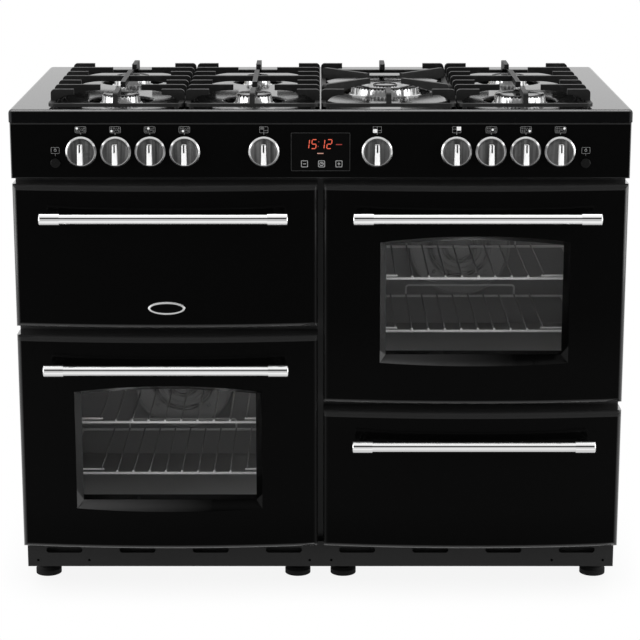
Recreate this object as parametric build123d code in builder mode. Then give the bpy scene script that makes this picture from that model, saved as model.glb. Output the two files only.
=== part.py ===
"""Bow-front range cooker, 110 cm wide, as separate named pieces.

Millimetres. X is to the right, Y to the back, Z up, and the floor is Z = 0.
Depths are measured back from the front edge of the hob, so at(0) is that edge.
"""
import os
from math import hypot, sqrt

from build123d import *

os.makedirs("parts", exist_ok=True)

# overall size
width = 1100.0
body_depth = 600.0
hob_top = 900.0
handle_reach = 56.5  # handles in front of the hob edge
front_y = (handle_reach - body_depth) / 2
sheet = 2.0  # pressed steel
cut = 1.0  # how far a cutting shape runs past the face it cuts
touch_gap = 0.4  # free gap round a moving curved face
pin_clear = 0.05  # running clearance on the radius of a pin

# levels, from the floor up
foot_height = 40.0
plinth_height = 49.0
short_front = 260.0
front_gap = 16.0  # between a front and the one above it
fascia_gap = 10.0
fascia_high = 100.0
hob_skirt = 23.0
low_front = foot_height + plinth_height
fascia_top = hob_top - hob_skirt
fascia_bottom = fascia_top - fascia_high
fronts_top = fascia_bottom - fascia_gap
tall_front = fronts_top - low_front - front_gap - short_front
tray_top = foot_height + sheet
under_hob = hob_top - sheet

# bowed fronts
side_margin = 3.0
centre_gap = 10.0
front_w = (width - 2 * side_margin - centre_gap) / 2
front_x = (centre_gap + front_w) / 2
bow = 15.7  # middle of a front stands proud of its sides
front_round = 8.0
front_thick = 45.0
frame_clear = 4.0
frame_depth = front_thick + frame_clear
cabinet_x = width / 2 - side_margin
back_depth = body_depth - 25.0
liner_depth = frame_depth + sheet

# each front: middle x, bottom z, height
fronts = {
    "grill_door": (-front_x, low_front + tall_front + front_gap, short_front),
    "left_oven_door": (-front_x, low_front, tall_front),
    "right_oven_door": (front_x, low_front + short_front + front_gap, tall_front),
    "drawer": (front_x, low_front, short_front),
}
doors = [name for name in fronts if name != "drawer"]
oven_doors = ["left_oven_door", "right_oven_door"]

# cavities behind the fronts: inside width and the rims left above and below
cavity_side = 56.0  # front frame left beside a cavity, from the front's edge
cavity_w = front_w - 2 * cavity_side
cavity_low = 36.0
cavity_high = 36.0
motor_room = 124.0  # between an oven's back wall and the back panel
oven_deep = back_depth - liner_depth - motor_room
grill_deep = oven_deep - 20.0
drawer_rim = 24.0

# door hinge axis, behind the front plane and above the door's bottom edge
hinge_depth = 10.0
hinge_rise = 14.0
hinge_x = cavity_w / 2  # either side of the door's middle
pin_r = 3.0
arm_half = 4.0
arm_thick = 5.0
cheek_thick = 6.0
slot_clear = 1.2


def at(depth):
    return front_y + depth


def block(x_span, y_span, z_span, mode=Mode.ADD):
    # a box between two values on each axis
    sides = [b - a for a, b in (x_span, y_span, z_span)]
    middle = [(a + b) / 2 for a, b in (x_span, y_span, z_span)]
    with Locations(tuple(middle)):
        Box(*sides, mode=mode)


def rod_y(x, z, radius, y_span, mode=Mode.ADD):
    # a round bar that runs front to back
    with Locations((x, sum(y_span) / 2, z)):
        Cylinder(radius, y_span[1] - y_span[0], rotation=(90, 0, 0), mode=mode)


def rod_x(y, z, radius, x_span, mode=Mode.ADD):
    # a round bar that runs left to right
    with Locations((sum(x_span) / 2, y, z)):
        Cylinder(radius, x_span[1] - x_span[0], rotation=(0, 90, 0), mode=mode)


def rod_z(x, y, radius, z_span, mode=Mode.ADD):
    # an upright round bar
    with Locations((x, y, sum(z_span) / 2)):
        Cylinder(radius, z_span[1] - z_span[0], mode=mode)


def save(piece, name):
    piece.part.label = name
    export_step(piece.part, f"parts/{name}.step")


def opening_of(name):
    # the hole in the front frame behind one front: x span and z span
    x, bottom, height = fronts[name]
    low, high = (drawer_rim, drawer_rim) if name == "drawer" else (cavity_low, cavity_high)
    return (x - cavity_w / 2, x + cavity_w / 2), (bottom + low, bottom + height - high)


# cabinet: sides, middle partition, back, base and front frame
partition = 3.0
edge_round = 9.0  # hob's outer corners; the plates under it are trimmed to clear them
inner_y = (at(liner_depth), at(back_depth))


def trimmed_plate(y_span):
    # a plate across the whole cabinet, with its two top corners cut off
    block((-cabinet_x, cabinet_x), y_span, (tray_top, under_hob))
    for way in (-1, 1):
        inner, outer = sorted((way * (cabinet_x - edge_round), way * (cabinet_x + cut)))
        y_cut = (y_span[0] - cut, y_span[1] + cut)
        block((inner, outer), y_cut, (under_hob - edge_round, hob_top), Mode.SUBTRACT)


with BuildPart() as carcass:
    block((-cabinet_x, cabinet_x), (at(frame_depth), at(back_depth) + sheet), (foot_height, tray_top))
    for outer in (-cabinet_x, cabinet_x - sheet):
        block((outer, outer + sheet), inner_y, (tray_top, under_hob - edge_round))
    block((-partition / 2, partition / 2), inner_y, (tray_top, fascia_bottom))
save(carcass, "carcass")

knob_z = fascia_top - 52.0
tap_h = 34.0
pipe = 14.0  # square gas pipe, outside
manifold_top = knob_z - tap_h / 2
inlet_x = cabinet_x - 47.0
inlet_z = manifold_top - pipe / 2
inlet_r = 10.48  # half-inch pipe thread, outside
pipe_clear = 3.0
cable_x = 77.0 - cabinet_x
cable_z = 120.0
cable_r = 7.0
gland_r = 13.0
gland_long = 18.0
vent_w = 70.0
vent_h = 6.0
vent_pitch = 14.0
vent_rows = 5
vent_z = fascia_bottom - 77.0
chain_x = front_x + 104.0
chain_z = fascia_bottom - 17.0
chain_r = 4.5

with BuildPart() as back_panel:
    trimmed_plate((at(back_depth), at(back_depth) + sheet))
    rod_y(cable_x, cable_z, gland_r, (at(back_depth), at(back_depth) + gland_long))
    rod_y(cable_x, cable_z, cable_r, (at(back_depth) - cut, at(back_depth) + gland_long + cut), Mode.SUBTRACT)
    with BuildSketch(Plane.XZ.offset(-at(back_depth) + cut)):
        with Locations((inlet_x, inlet_z)):
            Rectangle(pipe + 2 * pipe_clear, pipe + 2 * pipe_clear)
        for x in (-front_x, front_x):
            with Locations((x, vent_z)):
                with GridLocations(2 * vent_w, vent_pitch, 2, vent_rows):
                    SlotOverall(vent_w, vent_h)
        with Locations((-chain_x, chain_z), (chain_x, chain_z)):
            Circle(chain_r)
    extrude(amount=-(sheet + 2 * cut), mode=Mode.SUBTRACT)
save(back_panel, "back_panel")

with BuildPart() as front_frame:
    trimmed_plate((at(frame_depth), at(liner_depth)))
    with BuildSketch(Plane.XZ.offset(-at(frame_depth) + cut)):
        for name in fronts:
            x_span, z_span = opening_of(name)
            with Locations((sum(x_span) / 2, sum(z_span) / 2)):
                Rectangle(x_span[1] - x_span[0], z_span[1] - z_span[0])
        with Locations((inlet_x, inlet_z)):
            Rectangle(pipe + 2 * pipe_clear, pipe + 2 * pipe_clear)
    extrude(amount=-(sheet + 2 * cut), mode=Mode.SUBTRACT)
save(front_frame, "front_frame")

# plinth with its row of ventilation slots, and the feet
plinth_depth = 28.0
plinth_half = cabinet_x - 3.0
plinth_slot_w = 67.0
plinth_slot_h = 11.0
plinth_slots = 8
plinth_slot_pitch = 2 * plinth_half / plinth_slots
plinth_slot_rise = 32.0
screw_r = 2.4
screw_rise = 12.0
screw_xs = [way * x for way in (-1, 1) for x in (20.0, plinth_half - 114.0, plinth_half - 19.0)]
return_thick = 2.0

with BuildPart() as plinth:
    block((-plinth_half, plinth_half), (at(plinth_depth), at(plinth_depth) + sheet), (foot_height, low_front))
    block((-plinth_half, plinth_half), (at(plinth_depth), at(frame_depth)), (foot_height, tray_top))
    for outer in (-plinth_half, plinth_half - return_thick):
        block((outer, outer + return_thick), (at(plinth_depth), at(frame_depth)), (foot_height, low_front))
    with BuildSketch(Plane.XZ.offset(-at(plinth_depth) + cut)):
        with Locations((0, foot_height + plinth_slot_rise)):
            with GridLocations(plinth_slot_pitch, 1, plinth_slots, 1):
                SlotOverall(plinth_slot_w, plinth_slot_h)
        with Locations(*[(x, foot_height + screw_rise) for x in screw_xs]):
            Circle(screw_r)
    extrude(amount=-(sheet + 2 * cut), mode=Mode.SUBTRACT)
save(plinth, "plinth")

foot_r = 24.0
foot_neck_r = 12.0
foot_pad = 14.0
foot_round = 5.0
foot_xs = [way * x for way in (-1, 1) for x in (43.0, cabinet_x - 31.0)]
foot_depths = (106.0, back_depth - 35.0)
foot_spots = [(x, at(depth)) for x in foot_xs for depth in foot_depths]

with BuildPart() as levelling_feet:
    for x, y in foot_spots:
        rod_z(x, y, foot_r, (0, foot_pad))
    rims = levelling_feet.edges().filter_by(GeomType.CIRCLE).group_by(Axis.Z)[-1]
    chamfer(rims, foot_round)
    for x, y in foot_spots:
        rod_z(x, y, foot_neck_r, (foot_pad, foot_height))
save(levelling_feet, "levelling_feet")

# hob: pressed panel with a well for each burner
hob_side = 68.0  # hob left bare beside the pan supports
section_w = (width - 2 * hob_side) / 4  # pitch of the four pan supports
well_deep = 10.0
well_round = 4.0
well_floor = hob_top - well_deep
support_front = 13.0
support_back = body_depth - 115.0
rows = 7
first_row = support_front + 50.0
row_pitch = (support_back - first_row - 55.0) / (rows - 1)
row_depths = (first_row + row_pitch, first_row + (rows - 2) * row_pitch)
wok_depth = (row_depths[0] + row_depths[1]) / 2

# each ordinary burner: x, depth, cap radius, well radius
burners = [
    (-1.5 * section_w, row_depths[0], 34.0, 57.0),
    (-1.5 * section_w, row_depths[1], 34.0, 57.0),
    (-0.5 * section_w, row_depths[0], 32.5, 55.0),
    (-0.5 * section_w, row_depths[1], 23.0, 45.0),
    (1.5 * section_w, row_depths[0], 45.5, 65.0),
    (1.5 * section_w, row_depths[1], 34.0, 57.0),
]
wok = (0.5 * section_w, wok_depth, 63.0, 84.0)
body_r = 18.0  # mixing cup under each burner
body_hole_r = 20.0
body_low = hob_top - 55.0
spark_r = 1.8
spark_hole_r = 3.0
spark_off = 12.6  # electrode outside the cap's radius
spark_top = hob_top + 6.0
spark_low = hob_top - 30.0
collar_r = 4.0
collar_high = 3.0


def spark_spot(burner):
    # electrodes stand behind and to the left of their burners
    x, depth, cap_r, _ = burner
    return x - (cap_r + spark_off) / sqrt(2), at(depth) + (cap_r + spark_off) / sqrt(2)


with BuildPart() as hob_panel:
    block((-width / 2, width / 2), (at(0), at(body_depth)), (fascia_top, hob_top))
    fillet(hob_panel.edges().filter_by(Axis.Z), edge_round)
    fillet(hob_panel.faces().sort_by(Axis.Z)[-1].edges(), edge_round - sheet)
    offset(amount=-sheet, openings=hob_panel.faces().sort_by(Axis.Z)[0])
    for x, depth, _, well_r in burners + [wok]:
        rod_z(x, at(depth), well_r + sheet, (well_floor - sheet, under_hob))
        rod_z(x, at(depth), well_r, (well_floor, hob_top + cut), Mode.SUBTRACT)
    well_rims = hob_panel.edges().filter_by(GeomType.CIRCLE).filter_by(
        lambda edge: edge.radius > edge_round * 2
    )
    fillet(well_rims.group_by(Axis.Z)[-1], well_round)
    for burner in burners + [wok]:
        x, depth = burner[:2]
        rod_z(x, at(depth), body_hole_r, (well_floor - 2 * sheet, hob_top), Mode.SUBTRACT)
        rod_z(*spark_spot(burner), spark_hole_r, (well_floor - 2 * sheet, hob_top), Mode.SUBTRACT)
save(hob_panel, "hob_panel")

# burners: base with mixing cup, fluted crown, loose cap, electrode
base_out = 8.0  # base rim outside the cap's radius
base_high = 6.0
crown_in = 2.0  # crown wall inside the cap's radius
crown_wall = 6.0
cap_low = hob_top + 7.0
cap_thick = 5.0
cap_round = 2.5
flutes = 18
flute_w = 2.6
flute_h = 5.0
crown_low = well_floor + base_high
wok_rings = ((46.0, 63.0), (0.0, 24.0))  # inside and outside radii of the two flame rings
wok_base_r = 70.0

with BuildPart() as burner_bases:
    for x, depth, cap_r, _ in burners:
        rod_z(x, at(depth), cap_r + base_out, (well_floor, crown_low))
        rod_z(x, at(depth), body_r, (body_low, well_floor))
    rod_z(wok[0], at(wok[1]), wok_base_r, (well_floor, crown_low))
    rod_z(wok[0], at(wok[1]), body_r, (body_low, well_floor))
    rims = burner_bases.edges().filter_by(GeomType.CIRCLE).group_by(Axis.Z)[-1]
    chamfer(rims, base_high / 2)
save(burner_bases, "burner_bases")


def crown(x, depth, outer, inner, ports):
    # a ring with gas ports cut across its wall
    rod_z(x, at(depth), outer, (crown_low, cap_low))
    if inner:
        rod_z(x, at(depth), inner, (crown_low, cap_low), Mode.SUBTRACT)
    with Locations((x, at(depth), cap_low - flute_h / 2)):
        with PolarLocations(outer, ports):
            Box(crown_wall, flute_w, flute_h, mode=Mode.SUBTRACT)


with BuildPart() as burner_crowns:
    for x, depth, cap_r, _ in burners:
        crown(x, depth, cap_r - crown_in, 0, flutes)
    for inner, outer in wok_rings:
        crown(wok[0], wok[1], outer - crown_in, inner, flutes)
save(burner_crowns, "burner_crowns")

with BuildPart() as burner_caps:
    for x, depth, cap_r, _ in burners:
        rod_z(x, at(depth), cap_r, (cap_low, cap_low + cap_thick))
    for inner, outer in wok_rings:
        rod_z(wok[0], at(wok[1]), outer, (cap_low, cap_low + cap_thick))
        if inner:
            rod_z(wok[0], at(wok[1]), inner, (cap_low, cap_low + cap_thick), Mode.SUBTRACT)
    chamfer(burner_caps.edges().filter_by(GeomType.CIRCLE).group_by(Axis.Z)[-1], cap_round)
save(burner_caps, "burner_caps")

with BuildPart() as spark_electrodes:
    for burner in burners + [wok]:
        rod_z(*spark_spot(burner), spark_r, (spark_low, spark_top))
        rod_z(*spark_spot(burner), collar_r, (well_floor, well_floor + collar_high))
save(spark_electrodes, "spark_electrodes")

# pan supports: a low frame on pads with arched fingers
support_rise = 28.0
support_gap = 2.4
support_w = section_w - support_gap
rail_w = 9.0
rail_high = 6.0
rail_round = 12.0
pad_high = 3.0
pad_r = 4.0
finger_w = 9.0
finger_tip = 10.0  # height of a finger at its tip
finger_round = 7.0
short_finger = 41.0
long_finger = 82.0
end_finger = 73.0
tip_flat = 8.0
mid_bar_end = 36.0  # the middle bar stops this far from each burner's axis
mid_bar = (row_depths[0] + mid_bar_end, row_depths[1] - mid_bar_end)
wok_tip = 46.0  # wok fingers end this far from the burner's axis
rail_low = hob_top + pad_high
finger_top = hob_top + support_rise
support_long = support_back - support_front
support_mid = (support_back + support_front) / 2


def finger(plane, root, tip, flat=tip_flat):
    # an arched finger drawn upright on a plane, from its root at the rail to its tip
    way = 1 if tip > root else -1
    with BuildSketch(plane) as outline:
        with BuildLine():
            Polyline(
                (root + way * rail_w, rail_low),
                (root, rail_low),
                (root, finger_top - finger_round),
            )
            RadiusArc(
                (root, finger_top - finger_round),
                (root + way * finger_round, finger_top),
                way * finger_round,
            )
            Polyline(
                (root + way * finger_round, finger_top),
                (tip, finger_top),
                (tip, finger_top - finger_tip),
                (tip - way * flat, finger_top - finger_tip),
            )
            TangentArc(
                (tip - way * flat, finger_top - finger_tip),
                (root + way * rail_w, rail_low),
                tangent=(-way, 0),
            )
        make_face()
    extrude(outline.sketch, amount=finger_w / 2, both=True)


def support_frame(x):
    # the low frame and the pads it stands on
    with BuildSketch(Plane.XY.offset(rail_low)) as ring:
        with Locations((x, at(support_mid))):
            RectangleRounded(support_w, support_long, rail_round)
            Rectangle(support_w - 2 * rail_w, support_long - 2 * rail_w, mode=Mode.SUBTRACT)
    extrude(ring.sketch, amount=rail_high)
    with Locations((x, at(support_mid), hob_top + pad_high / 2)):
        with GridLocations(support_w - 2 * rail_round, support_long - rail_w, 2, 2):
            Cylinder(pad_r, pad_high)


def end_fingers(x):
    # the two fingers that point along the middle line
    finger(Plane.YZ.offset(x), at(support_front), at(support_front + end_finger))
    finger(Plane.YZ.offset(x), at(support_back), at(support_back - end_finger))


def row_reach(row):
    if row == rows // 2:
        return support_w / 2
    return long_finger if row in (1, rows - 2) else short_finger


support_xs = {
    "support_left": -1.5 * section_w,
    "support_centre": -0.5 * section_w,
    "support_right": 1.5 * section_w,
}
for name, x in support_xs.items():
    with BuildPart() as support:
        support_frame(x)
        end_fingers(x)
        block(
            (x - finger_w / 2, x + finger_w / 2),
            (at(mid_bar[0]), at(mid_bar[1])),
            (finger_top - finger_tip, finger_top),
        )
        for row in range(rows):
            plane = Plane.XZ.offset(-at(first_row + row * row_pitch))
            reach = row_reach(row)
            flat = reach - long_finger + tip_flat if row == rows // 2 else tip_flat
            for way in (-1, 1):
                root = x + way * support_w / 2
                finger(plane, root, root - way * reach, max(flat, tip_flat))
    save(support, name)

with BuildPart() as support_wok:
    x = wok[0]
    support_frame(x)
    end_fingers(x)
    for row in (0, rows - 1):
        plane = Plane.XZ.offset(-at(first_row + row * row_pitch))
        for way in (-1, 1):
            root = x + way * support_w / 2
            finger(plane, root, root - way * short_finger)
    for way_x in (-1, 1):
        for way_y in (-1, 1):
            side = way_x * (support_w - rail_w) / 2
            along = way_y * 2 * row_pitch
            slant = Plane(
                origin=(x, at(wok_depth), 0),
                x_dir=(side, along, 0),
                z_dir=(along, -side, 0),
            )
            finger(slant, hypot(side, along), wok_tip)
save(support_wok, "support_wok")

# control fascia: folded panel with knobs, light buttons and the clock
fascia_depth = 2.5
fascia_half = width / 2 - 2.0
fascia_round = 2.5
fascia_back = fascia_depth + sheet
knob_end = fascia_half - 125.0
knob_pitch = 61.0
clock_knob = 100.0  # the two knobs beside the clock
knob_xs = {
    "knob_rear_left": -knob_end,
    "knob_front_left": knob_pitch - knob_end,
    "knob_centre_rear": 2 * knob_pitch - knob_end,
    "knob_centre_front": 3 * knob_pitch - knob_end,
    "knob_grill": -clock_knob,
    "knob_left_oven": clock_knob,
    "knob_right_oven": knob_end - 3 * knob_pitch,
    "knob_wok": knob_end - 2 * knob_pitch,
    "knob_front_right": knob_end - knob_pitch,
    "knob_rear_right": knob_end,
}
switch_knobs = ("knob_grill", "knob_left_oven", "knob_right_oven")
knob_r = 23.0
knob_disc = 11.0  # disc thickness
knob_lift = 1.0  # gap between the knob and the fascia
knob_edge = 1.5
grip_w = 10.5
grip_half = knob_r - 2 * knob_edge
grip_out = 15.0  # grip in front of the disc
grip_taper = 2.0
mark_w = 2.6
mark_long = 15.5
mark_deep = 1.2
stem_r = 4.0
stem_end = 30.0
stem_hole_r = 6.0
bezel_r = 27.2
bezel_high = 4.0
bezel_edge = 2.5
button_x = fascia_half - 79.5
button_z = knob_z - 20.0
button_r = 8.5
button_out = 3.5  # proud of the fascia
button_end = 10.0
button_edge = 1.0
flange_r = 10.0
flange_thick = 2.0
button_travel = 2.5
cup_r = 13.0
cup_end = 28.0
clock_w = 105.0
clock_h = 69.0
clock_thick = 1.5
clock_body_w = 95.0
clock_body_h = 59.0
clock_end = 28.0
tap_w = 26.0
tap_end = 40.0
switch_w = 36.0
manifold_depth = 30.0
manifold_left = -knob_end - tap_w / 2

with BuildPart() as control_fascia:
    block((-fascia_half, fascia_half), (at(fascia_depth), at(frame_depth)), (fascia_bottom, fascia_top))
    fillet(control_fascia.faces().sort_by(Axis.Y)[0].edges(), fascia_round)
    offset(amount=-sheet, openings=control_fascia.faces().sort_by(Axis.Y)[-1])
    with BuildSketch(Plane.XZ.offset(-at(fascia_depth) + cut)):
        with Locations(*[(x, knob_z) for x in knob_xs.values()]):
            Circle(stem_hole_r)
        with Locations((-button_x, button_z), (button_x, button_z)):
            Circle(button_r + touch_gap)
        with Locations((0, knob_z)):
            Rectangle(clock_body_w, clock_body_h)
    extrude(amount=-(sheet + 2 * cut), mode=Mode.SUBTRACT)
save(control_fascia, "control_fascia")

with BuildPart() as clock_display:
    block(
        (-clock_w / 2, clock_w / 2),
        (at(fascia_depth - clock_thick), at(fascia_depth)),
        (knob_z - clock_h / 2, knob_z + clock_h / 2),
    )
    block(
        (-clock_body_w / 2, clock_body_w / 2),
        (at(fascia_depth), at(clock_end)),
        (knob_z - clock_body_h / 2, knob_z + clock_body_h / 2),
    )
save(clock_display, "clock_display")

with BuildPart() as knob_bezels:
    for x in knob_xs.values():
        rod_y(x, knob_z, bezel_r, (at(fascia_depth - bezel_high), at(fascia_depth)))
    rims = knob_bezels.edges().filter_by(GeomType.CIRCLE).group_by(Axis.Y)[0]
    chamfer(rims, bezel_edge)
    for x in knob_xs.values():
        rod_y(
            x,
            knob_z,
            knob_r + touch_gap,
            (at(fascia_depth - bezel_high) - cut, at(fascia_depth) + cut),
            Mode.SUBTRACT,
        )
save(knob_bezels, "knob_bezels")

knob_back = fascia_depth - knob_lift
knob_face = knob_back - knob_disc
for name, x in knob_xs.items():
    with BuildPart() as knob:
        rod_y(x, knob_z, knob_r, (at(knob_face), at(knob_back)))
        chamfer(knob.edges().filter_by(GeomType.CIRCLE).group_by(Axis.Y)[0], knob_edge)
        with BuildSketch(Plane.XZ.offset(-at(knob_face))):
            with Locations((x, knob_z)):
                SlotOverall(2 * grip_half, grip_w, rotation=90)
        extrude(amount=grip_out, taper=grip_taper)
        block(
            (x - mark_w / 2, x + mark_w / 2),
            (at(knob_face - grip_out) - cut, at(knob_face - grip_out + mark_deep)),
            (knob_z + grip_half - mark_long, knob_z + grip_half + cut),
            Mode.SUBTRACT,
        )
        rod_y(x, knob_z, stem_r, (at(knob_back), at(stem_end)))
    save(knob, name)

for name, x in {"left_light_button": -button_x, "right_light_button": button_x}.items():
    with BuildPart() as button:
        rod_y(x, button_z, button_r, (at(fascia_depth - button_out), at(button_end)))
        fillet(button.edges().filter_by(GeomType.CIRCLE).group_by(Axis.Y)[0], button_edge)
        flange_front = at(fascia_back + touch_gap)
        rod_y(x, button_z, flange_r, (flange_front, flange_front + flange_thick))
    save(button, name)

with BuildPart() as taps_and_switches:
    for name, x in knob_xs.items():
        half = (switch_w if name in switch_knobs else tap_w) / 2
        block(
            (x - half, x + half),
            (at(fascia_back), at(tap_end)),
            (knob_z - tap_h / 2, knob_z + tap_h / 2),
        )
        rod_y(x, knob_z, stem_r + pin_clear, (at(fascia_back) - cut, at(stem_end) + cut), Mode.SUBTRACT)
    for x in (-button_x, button_x):
        rod_y(x, button_z, cup_r, (at(fascia_back), at(cup_end)))
        rod_y(
            x,
            button_z,
            flange_r + touch_gap,
            (at(fascia_back) - cut, at(button_end + button_travel + cut)),
            Mode.SUBTRACT,
        )
save(taps_and_switches, "taps_and_switches")

# gas manifold: runs under the taps, then back along the right side to the inlet
with BuildPart() as gas_manifold:
    level = (manifold_top - pipe, manifold_top)
    block((manifold_left, inlet_x + pipe / 2), (at(manifold_depth), at(manifold_depth + pipe)), level)
    block((inlet_x - pipe / 2, inlet_x + pipe / 2), (at(manifold_depth), at(back_depth) + sheet), level)
    rod_y(inlet_x, inlet_z, inlet_r, (at(back_depth) + sheet, at(body_depth)))
save(gas_manifold, "gas_manifold")

# fronts: bowed skins, windows, inner panels with hinge cheeks, handles
skin_end = front_thick - sheet  # the inner panel closes the skin here
glass_depth = 6.0
glass_thick = 4.0
glass_lap = 8.0  # pane behind the bevel's inner edge
window_half = front_w / 2 - 97.0  # bevel's outer edge, at the front
window_low = 72.0
window_high = 100.0
window_arch = 9.0
bevel_side = 15.5
bevel_low = 17.0
bevel_high = 11.0
window_rim = 3.0
inner_pane_half = window_half - 4.0
inner_pane_low = 86.0
inner_pane_high = 108.0
panel_inset = 1.0
handle_drop = 54.0
handle_long = front_w - 104.5
handle_r = 9.75
handle_out = 45.0
handle_cap_r = handle_reach - handle_out
handle_cap_long = 36.0
handle_cap_round = 2.5
post_r = 8.0
slot_half = arm_thick / 2 + slot_clear
cheek_r = 7.0
pin_half = slot_half + cheek_thick - cut


def bowed(name, inset, end):
    # the solid under a front's outer skin, or a smaller one inside it
    x, bottom, height = fronts[name]
    half = front_w / 2 - inset
    with BuildPart() as solid:
        with BuildSketch(Plane.XY.offset(bottom + inset)):
            with BuildLine():
                ThreePointArc((x - half, at(inset)), (x, at(inset - bow)), (x + half, at(inset)))
                Polyline(
                    (x + half, at(inset)),
                    (x + half, at(end)),
                    (x - half, at(end)),
                    (x - half, at(inset)),
                )
            make_face()
        extrude(amount=height - 2 * inset)
        fillet(solid.faces().sort_by(Axis.Y)[0].edges(), front_round - inset)
    return solid.part


def arched(depth, x, half, low, high, arch):
    # a window outline with an arched top, upright at one depth
    with BuildSketch(Plane.XZ.offset(-at(depth))) as outline:
        with BuildLine():
            Polyline((x - half, high), (x - half, low), (x + half, low), (x + half, high))
            ThreePointArc((x + half, high), (x, high + arch), (x - half, high))
        make_face()
    return outline.sketch


def hinge_slots(name, end):
    # room for the fixed arms to swing down through a door's lower edge
    x, bottom, _ = fronts[name]
    for way in (-1, 1):
        middle = x + way * hinge_x
        block(
            (middle - slot_half, middle + slot_half),
            (at(hinge_depth - arm_half - slot_clear), at(end + cut)),
            (bottom - cut, bottom + hinge_rise + arm_half + slot_clear),
            Mode.SUBTRACT,
        )


for name, (x, bottom, height) in fronts.items():
    outer = bowed(name, 0, skin_end)
    hollow = bowed(name, sheet, skin_end + cut)
    low = bottom + window_low
    high = bottom + height - window_high
    glass_low = low + bevel_low
    glass_high = high - bevel_high
    glass_half = window_half - bevel_side

    with BuildPart() as window_frame:
        extrude(
            arched(
                glass_depth,
                x,
                window_half + window_rim,
                low - window_rim,
                high + window_rim,
                window_arch,
            ),
            amount=glass_depth + bow + cut,
        )
        add(outer, mode=Mode.INTERSECT)

    with BuildPart() as window_cut:
        loft([
            arched(glass_depth, x, glass_half, glass_low, glass_high, window_arch),
            arched(-bow, x, window_half, low, high, window_arch),
        ])

    with BuildPart() as skin:
        add(outer)
        add(hollow, mode=Mode.SUBTRACT)
        if name in oven_doors:
            add(window_frame.part)
            add(window_cut.part, mode=Mode.SUBTRACT)
        if name in doors:
            hinge_slots(name, skin_end)
    save(skin, f"{name}_skin")

    with BuildPart() as handle:
        y = at(-handle_out)
        z = bottom + height - handle_drop
        rod_x(y, z, handle_r, (x - handle_long / 2, x + handle_long / 2))
        for way in (-1, 1):
            end = x + way * handle_long / 2
            root = end - way * handle_cap_long
            rod_x(y, z, handle_cap_r, (min(end, root), max(end, root)))
            rod_y((end + root) / 2, z, post_r, (y, at(0)))
        rims = handle.edges().filter_by(GeomType.CIRCLE).group_by(Axis.X)
        fillet(rims[0] + rims[-1], handle_cap_round)
        add(outer, mode=Mode.SUBTRACT)
    save(handle, f"{name}_handle")

    if name in oven_doors:
        with BuildPart() as glass:
            extrude(
                arched(
                    glass_depth,
                    x,
                    glass_half + glass_lap,
                    glass_low - glass_lap,
                    glass_high + glass_lap,
                    window_arch,
                ),
                amount=-glass_thick,
            )
            block(
                (x - inner_pane_half - glass_lap, x + inner_pane_half + glass_lap),
                (at(skin_end - glass_thick), at(skin_end)),
                (bottom + inner_pane_low - glass_lap, bottom + height - inner_pane_high + glass_lap),
            )
        save(glass, f"{name}_glass")

    if name in doors:
        with BuildPart() as panel:
            block(
                (x - front_w / 2 + panel_inset, x + front_w / 2 - panel_inset),
                (at(skin_end), at(front_thick)),
                (bottom + panel_inset, bottom + height - panel_inset),
            )
            if name in oven_doors:
                block(
                    (x - inner_pane_half, x + inner_pane_half),
                    (at(skin_end) - cut, at(front_thick) + cut),
                    (bottom + inner_pane_low, bottom + height - inner_pane_high),
                    Mode.SUBTRACT,
                )
            hinge_slots(name, front_thick)
            for way in (-1, 1):
                for side in (-1, 1):
                    near = x + way * hinge_x + side * slot_half
                    far = near + side * cheek_thick
                    block(
                        (min(near, far), max(near, far)),
                        (at(hinge_depth - cheek_r), at(skin_end)),
                        (bottom + hinge_rise - cheek_r, bottom + hinge_rise + cheek_r),
                    )
                middle = x + way * hinge_x
                reach = slot_half + cheek_thick + cut
                rod_x(
                    at(hinge_depth),
                    bottom + hinge_rise,
                    pin_r + pin_clear,
                    (middle - reach, middle + reach),
                    Mode.SUBTRACT,
                )
        save(panel, f"{name}_panel")

with BuildPart() as hinge_brackets:
    for name in doors:
        x, bottom, _ = fronts[name]
        z = bottom + hinge_rise
        for way in (-1, 1):
            middle = x + way * hinge_x
            arm = (middle - arm_thick / 2, middle + arm_thick / 2)
            block(arm, (at(hinge_depth), at(frame_depth)), (z - arm_half, z + arm_half))
            rod_x(at(hinge_depth), z, arm_half, arm)
            rod_x(at(hinge_depth), z, pin_r, (middle - pin_half, middle + pin_half))
save(hinge_brackets, "hinge_brackets")

seal_w = 9.0
seal_clear = 0.5
seal_front = front_thick + seal_clear

with BuildPart() as door_seals:
    for name in doors:
        x_span, z_span = opening_of(name)
        block(
            (x_span[0] - seal_w, x_span[1] + seal_w),
            (at(seal_front), at(frame_depth)),
            (z_span[0] - seal_w, z_span[1] + seal_w),
        )
        block(x_span, (at(seal_front) - cut, at(frame_depth) + cut), z_span, Mode.SUBTRACT)
save(door_seals, "door_seals")

# cavities: enamelled liners behind the front frame
liner_wall = 2.0
shaft_hole_r = 8.0
cavity_deep = {"grill_door": grill_deep, "left_oven_door": oven_deep, "right_oven_door": oven_deep}
liner_names = {
    "grill_door": "grill_liner",
    "left_oven_door": "left_oven_liner",
    "right_oven_door": "right_oven_liner",
}
oven_back = liner_depth + oven_deep  # depth of an oven's back wall
lamp_x = cavity_w / 2 - 55.0
lamp_rise = (tall_front - cavity_low - cavity_high) / 2 - 60.0
lamp_r = 20.0
lamp_hole_r = 12.0


def fan_axis(name):
    x_span, z_span = opening_of(name)
    return sum(x_span) / 2, sum(z_span) / 2


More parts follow.
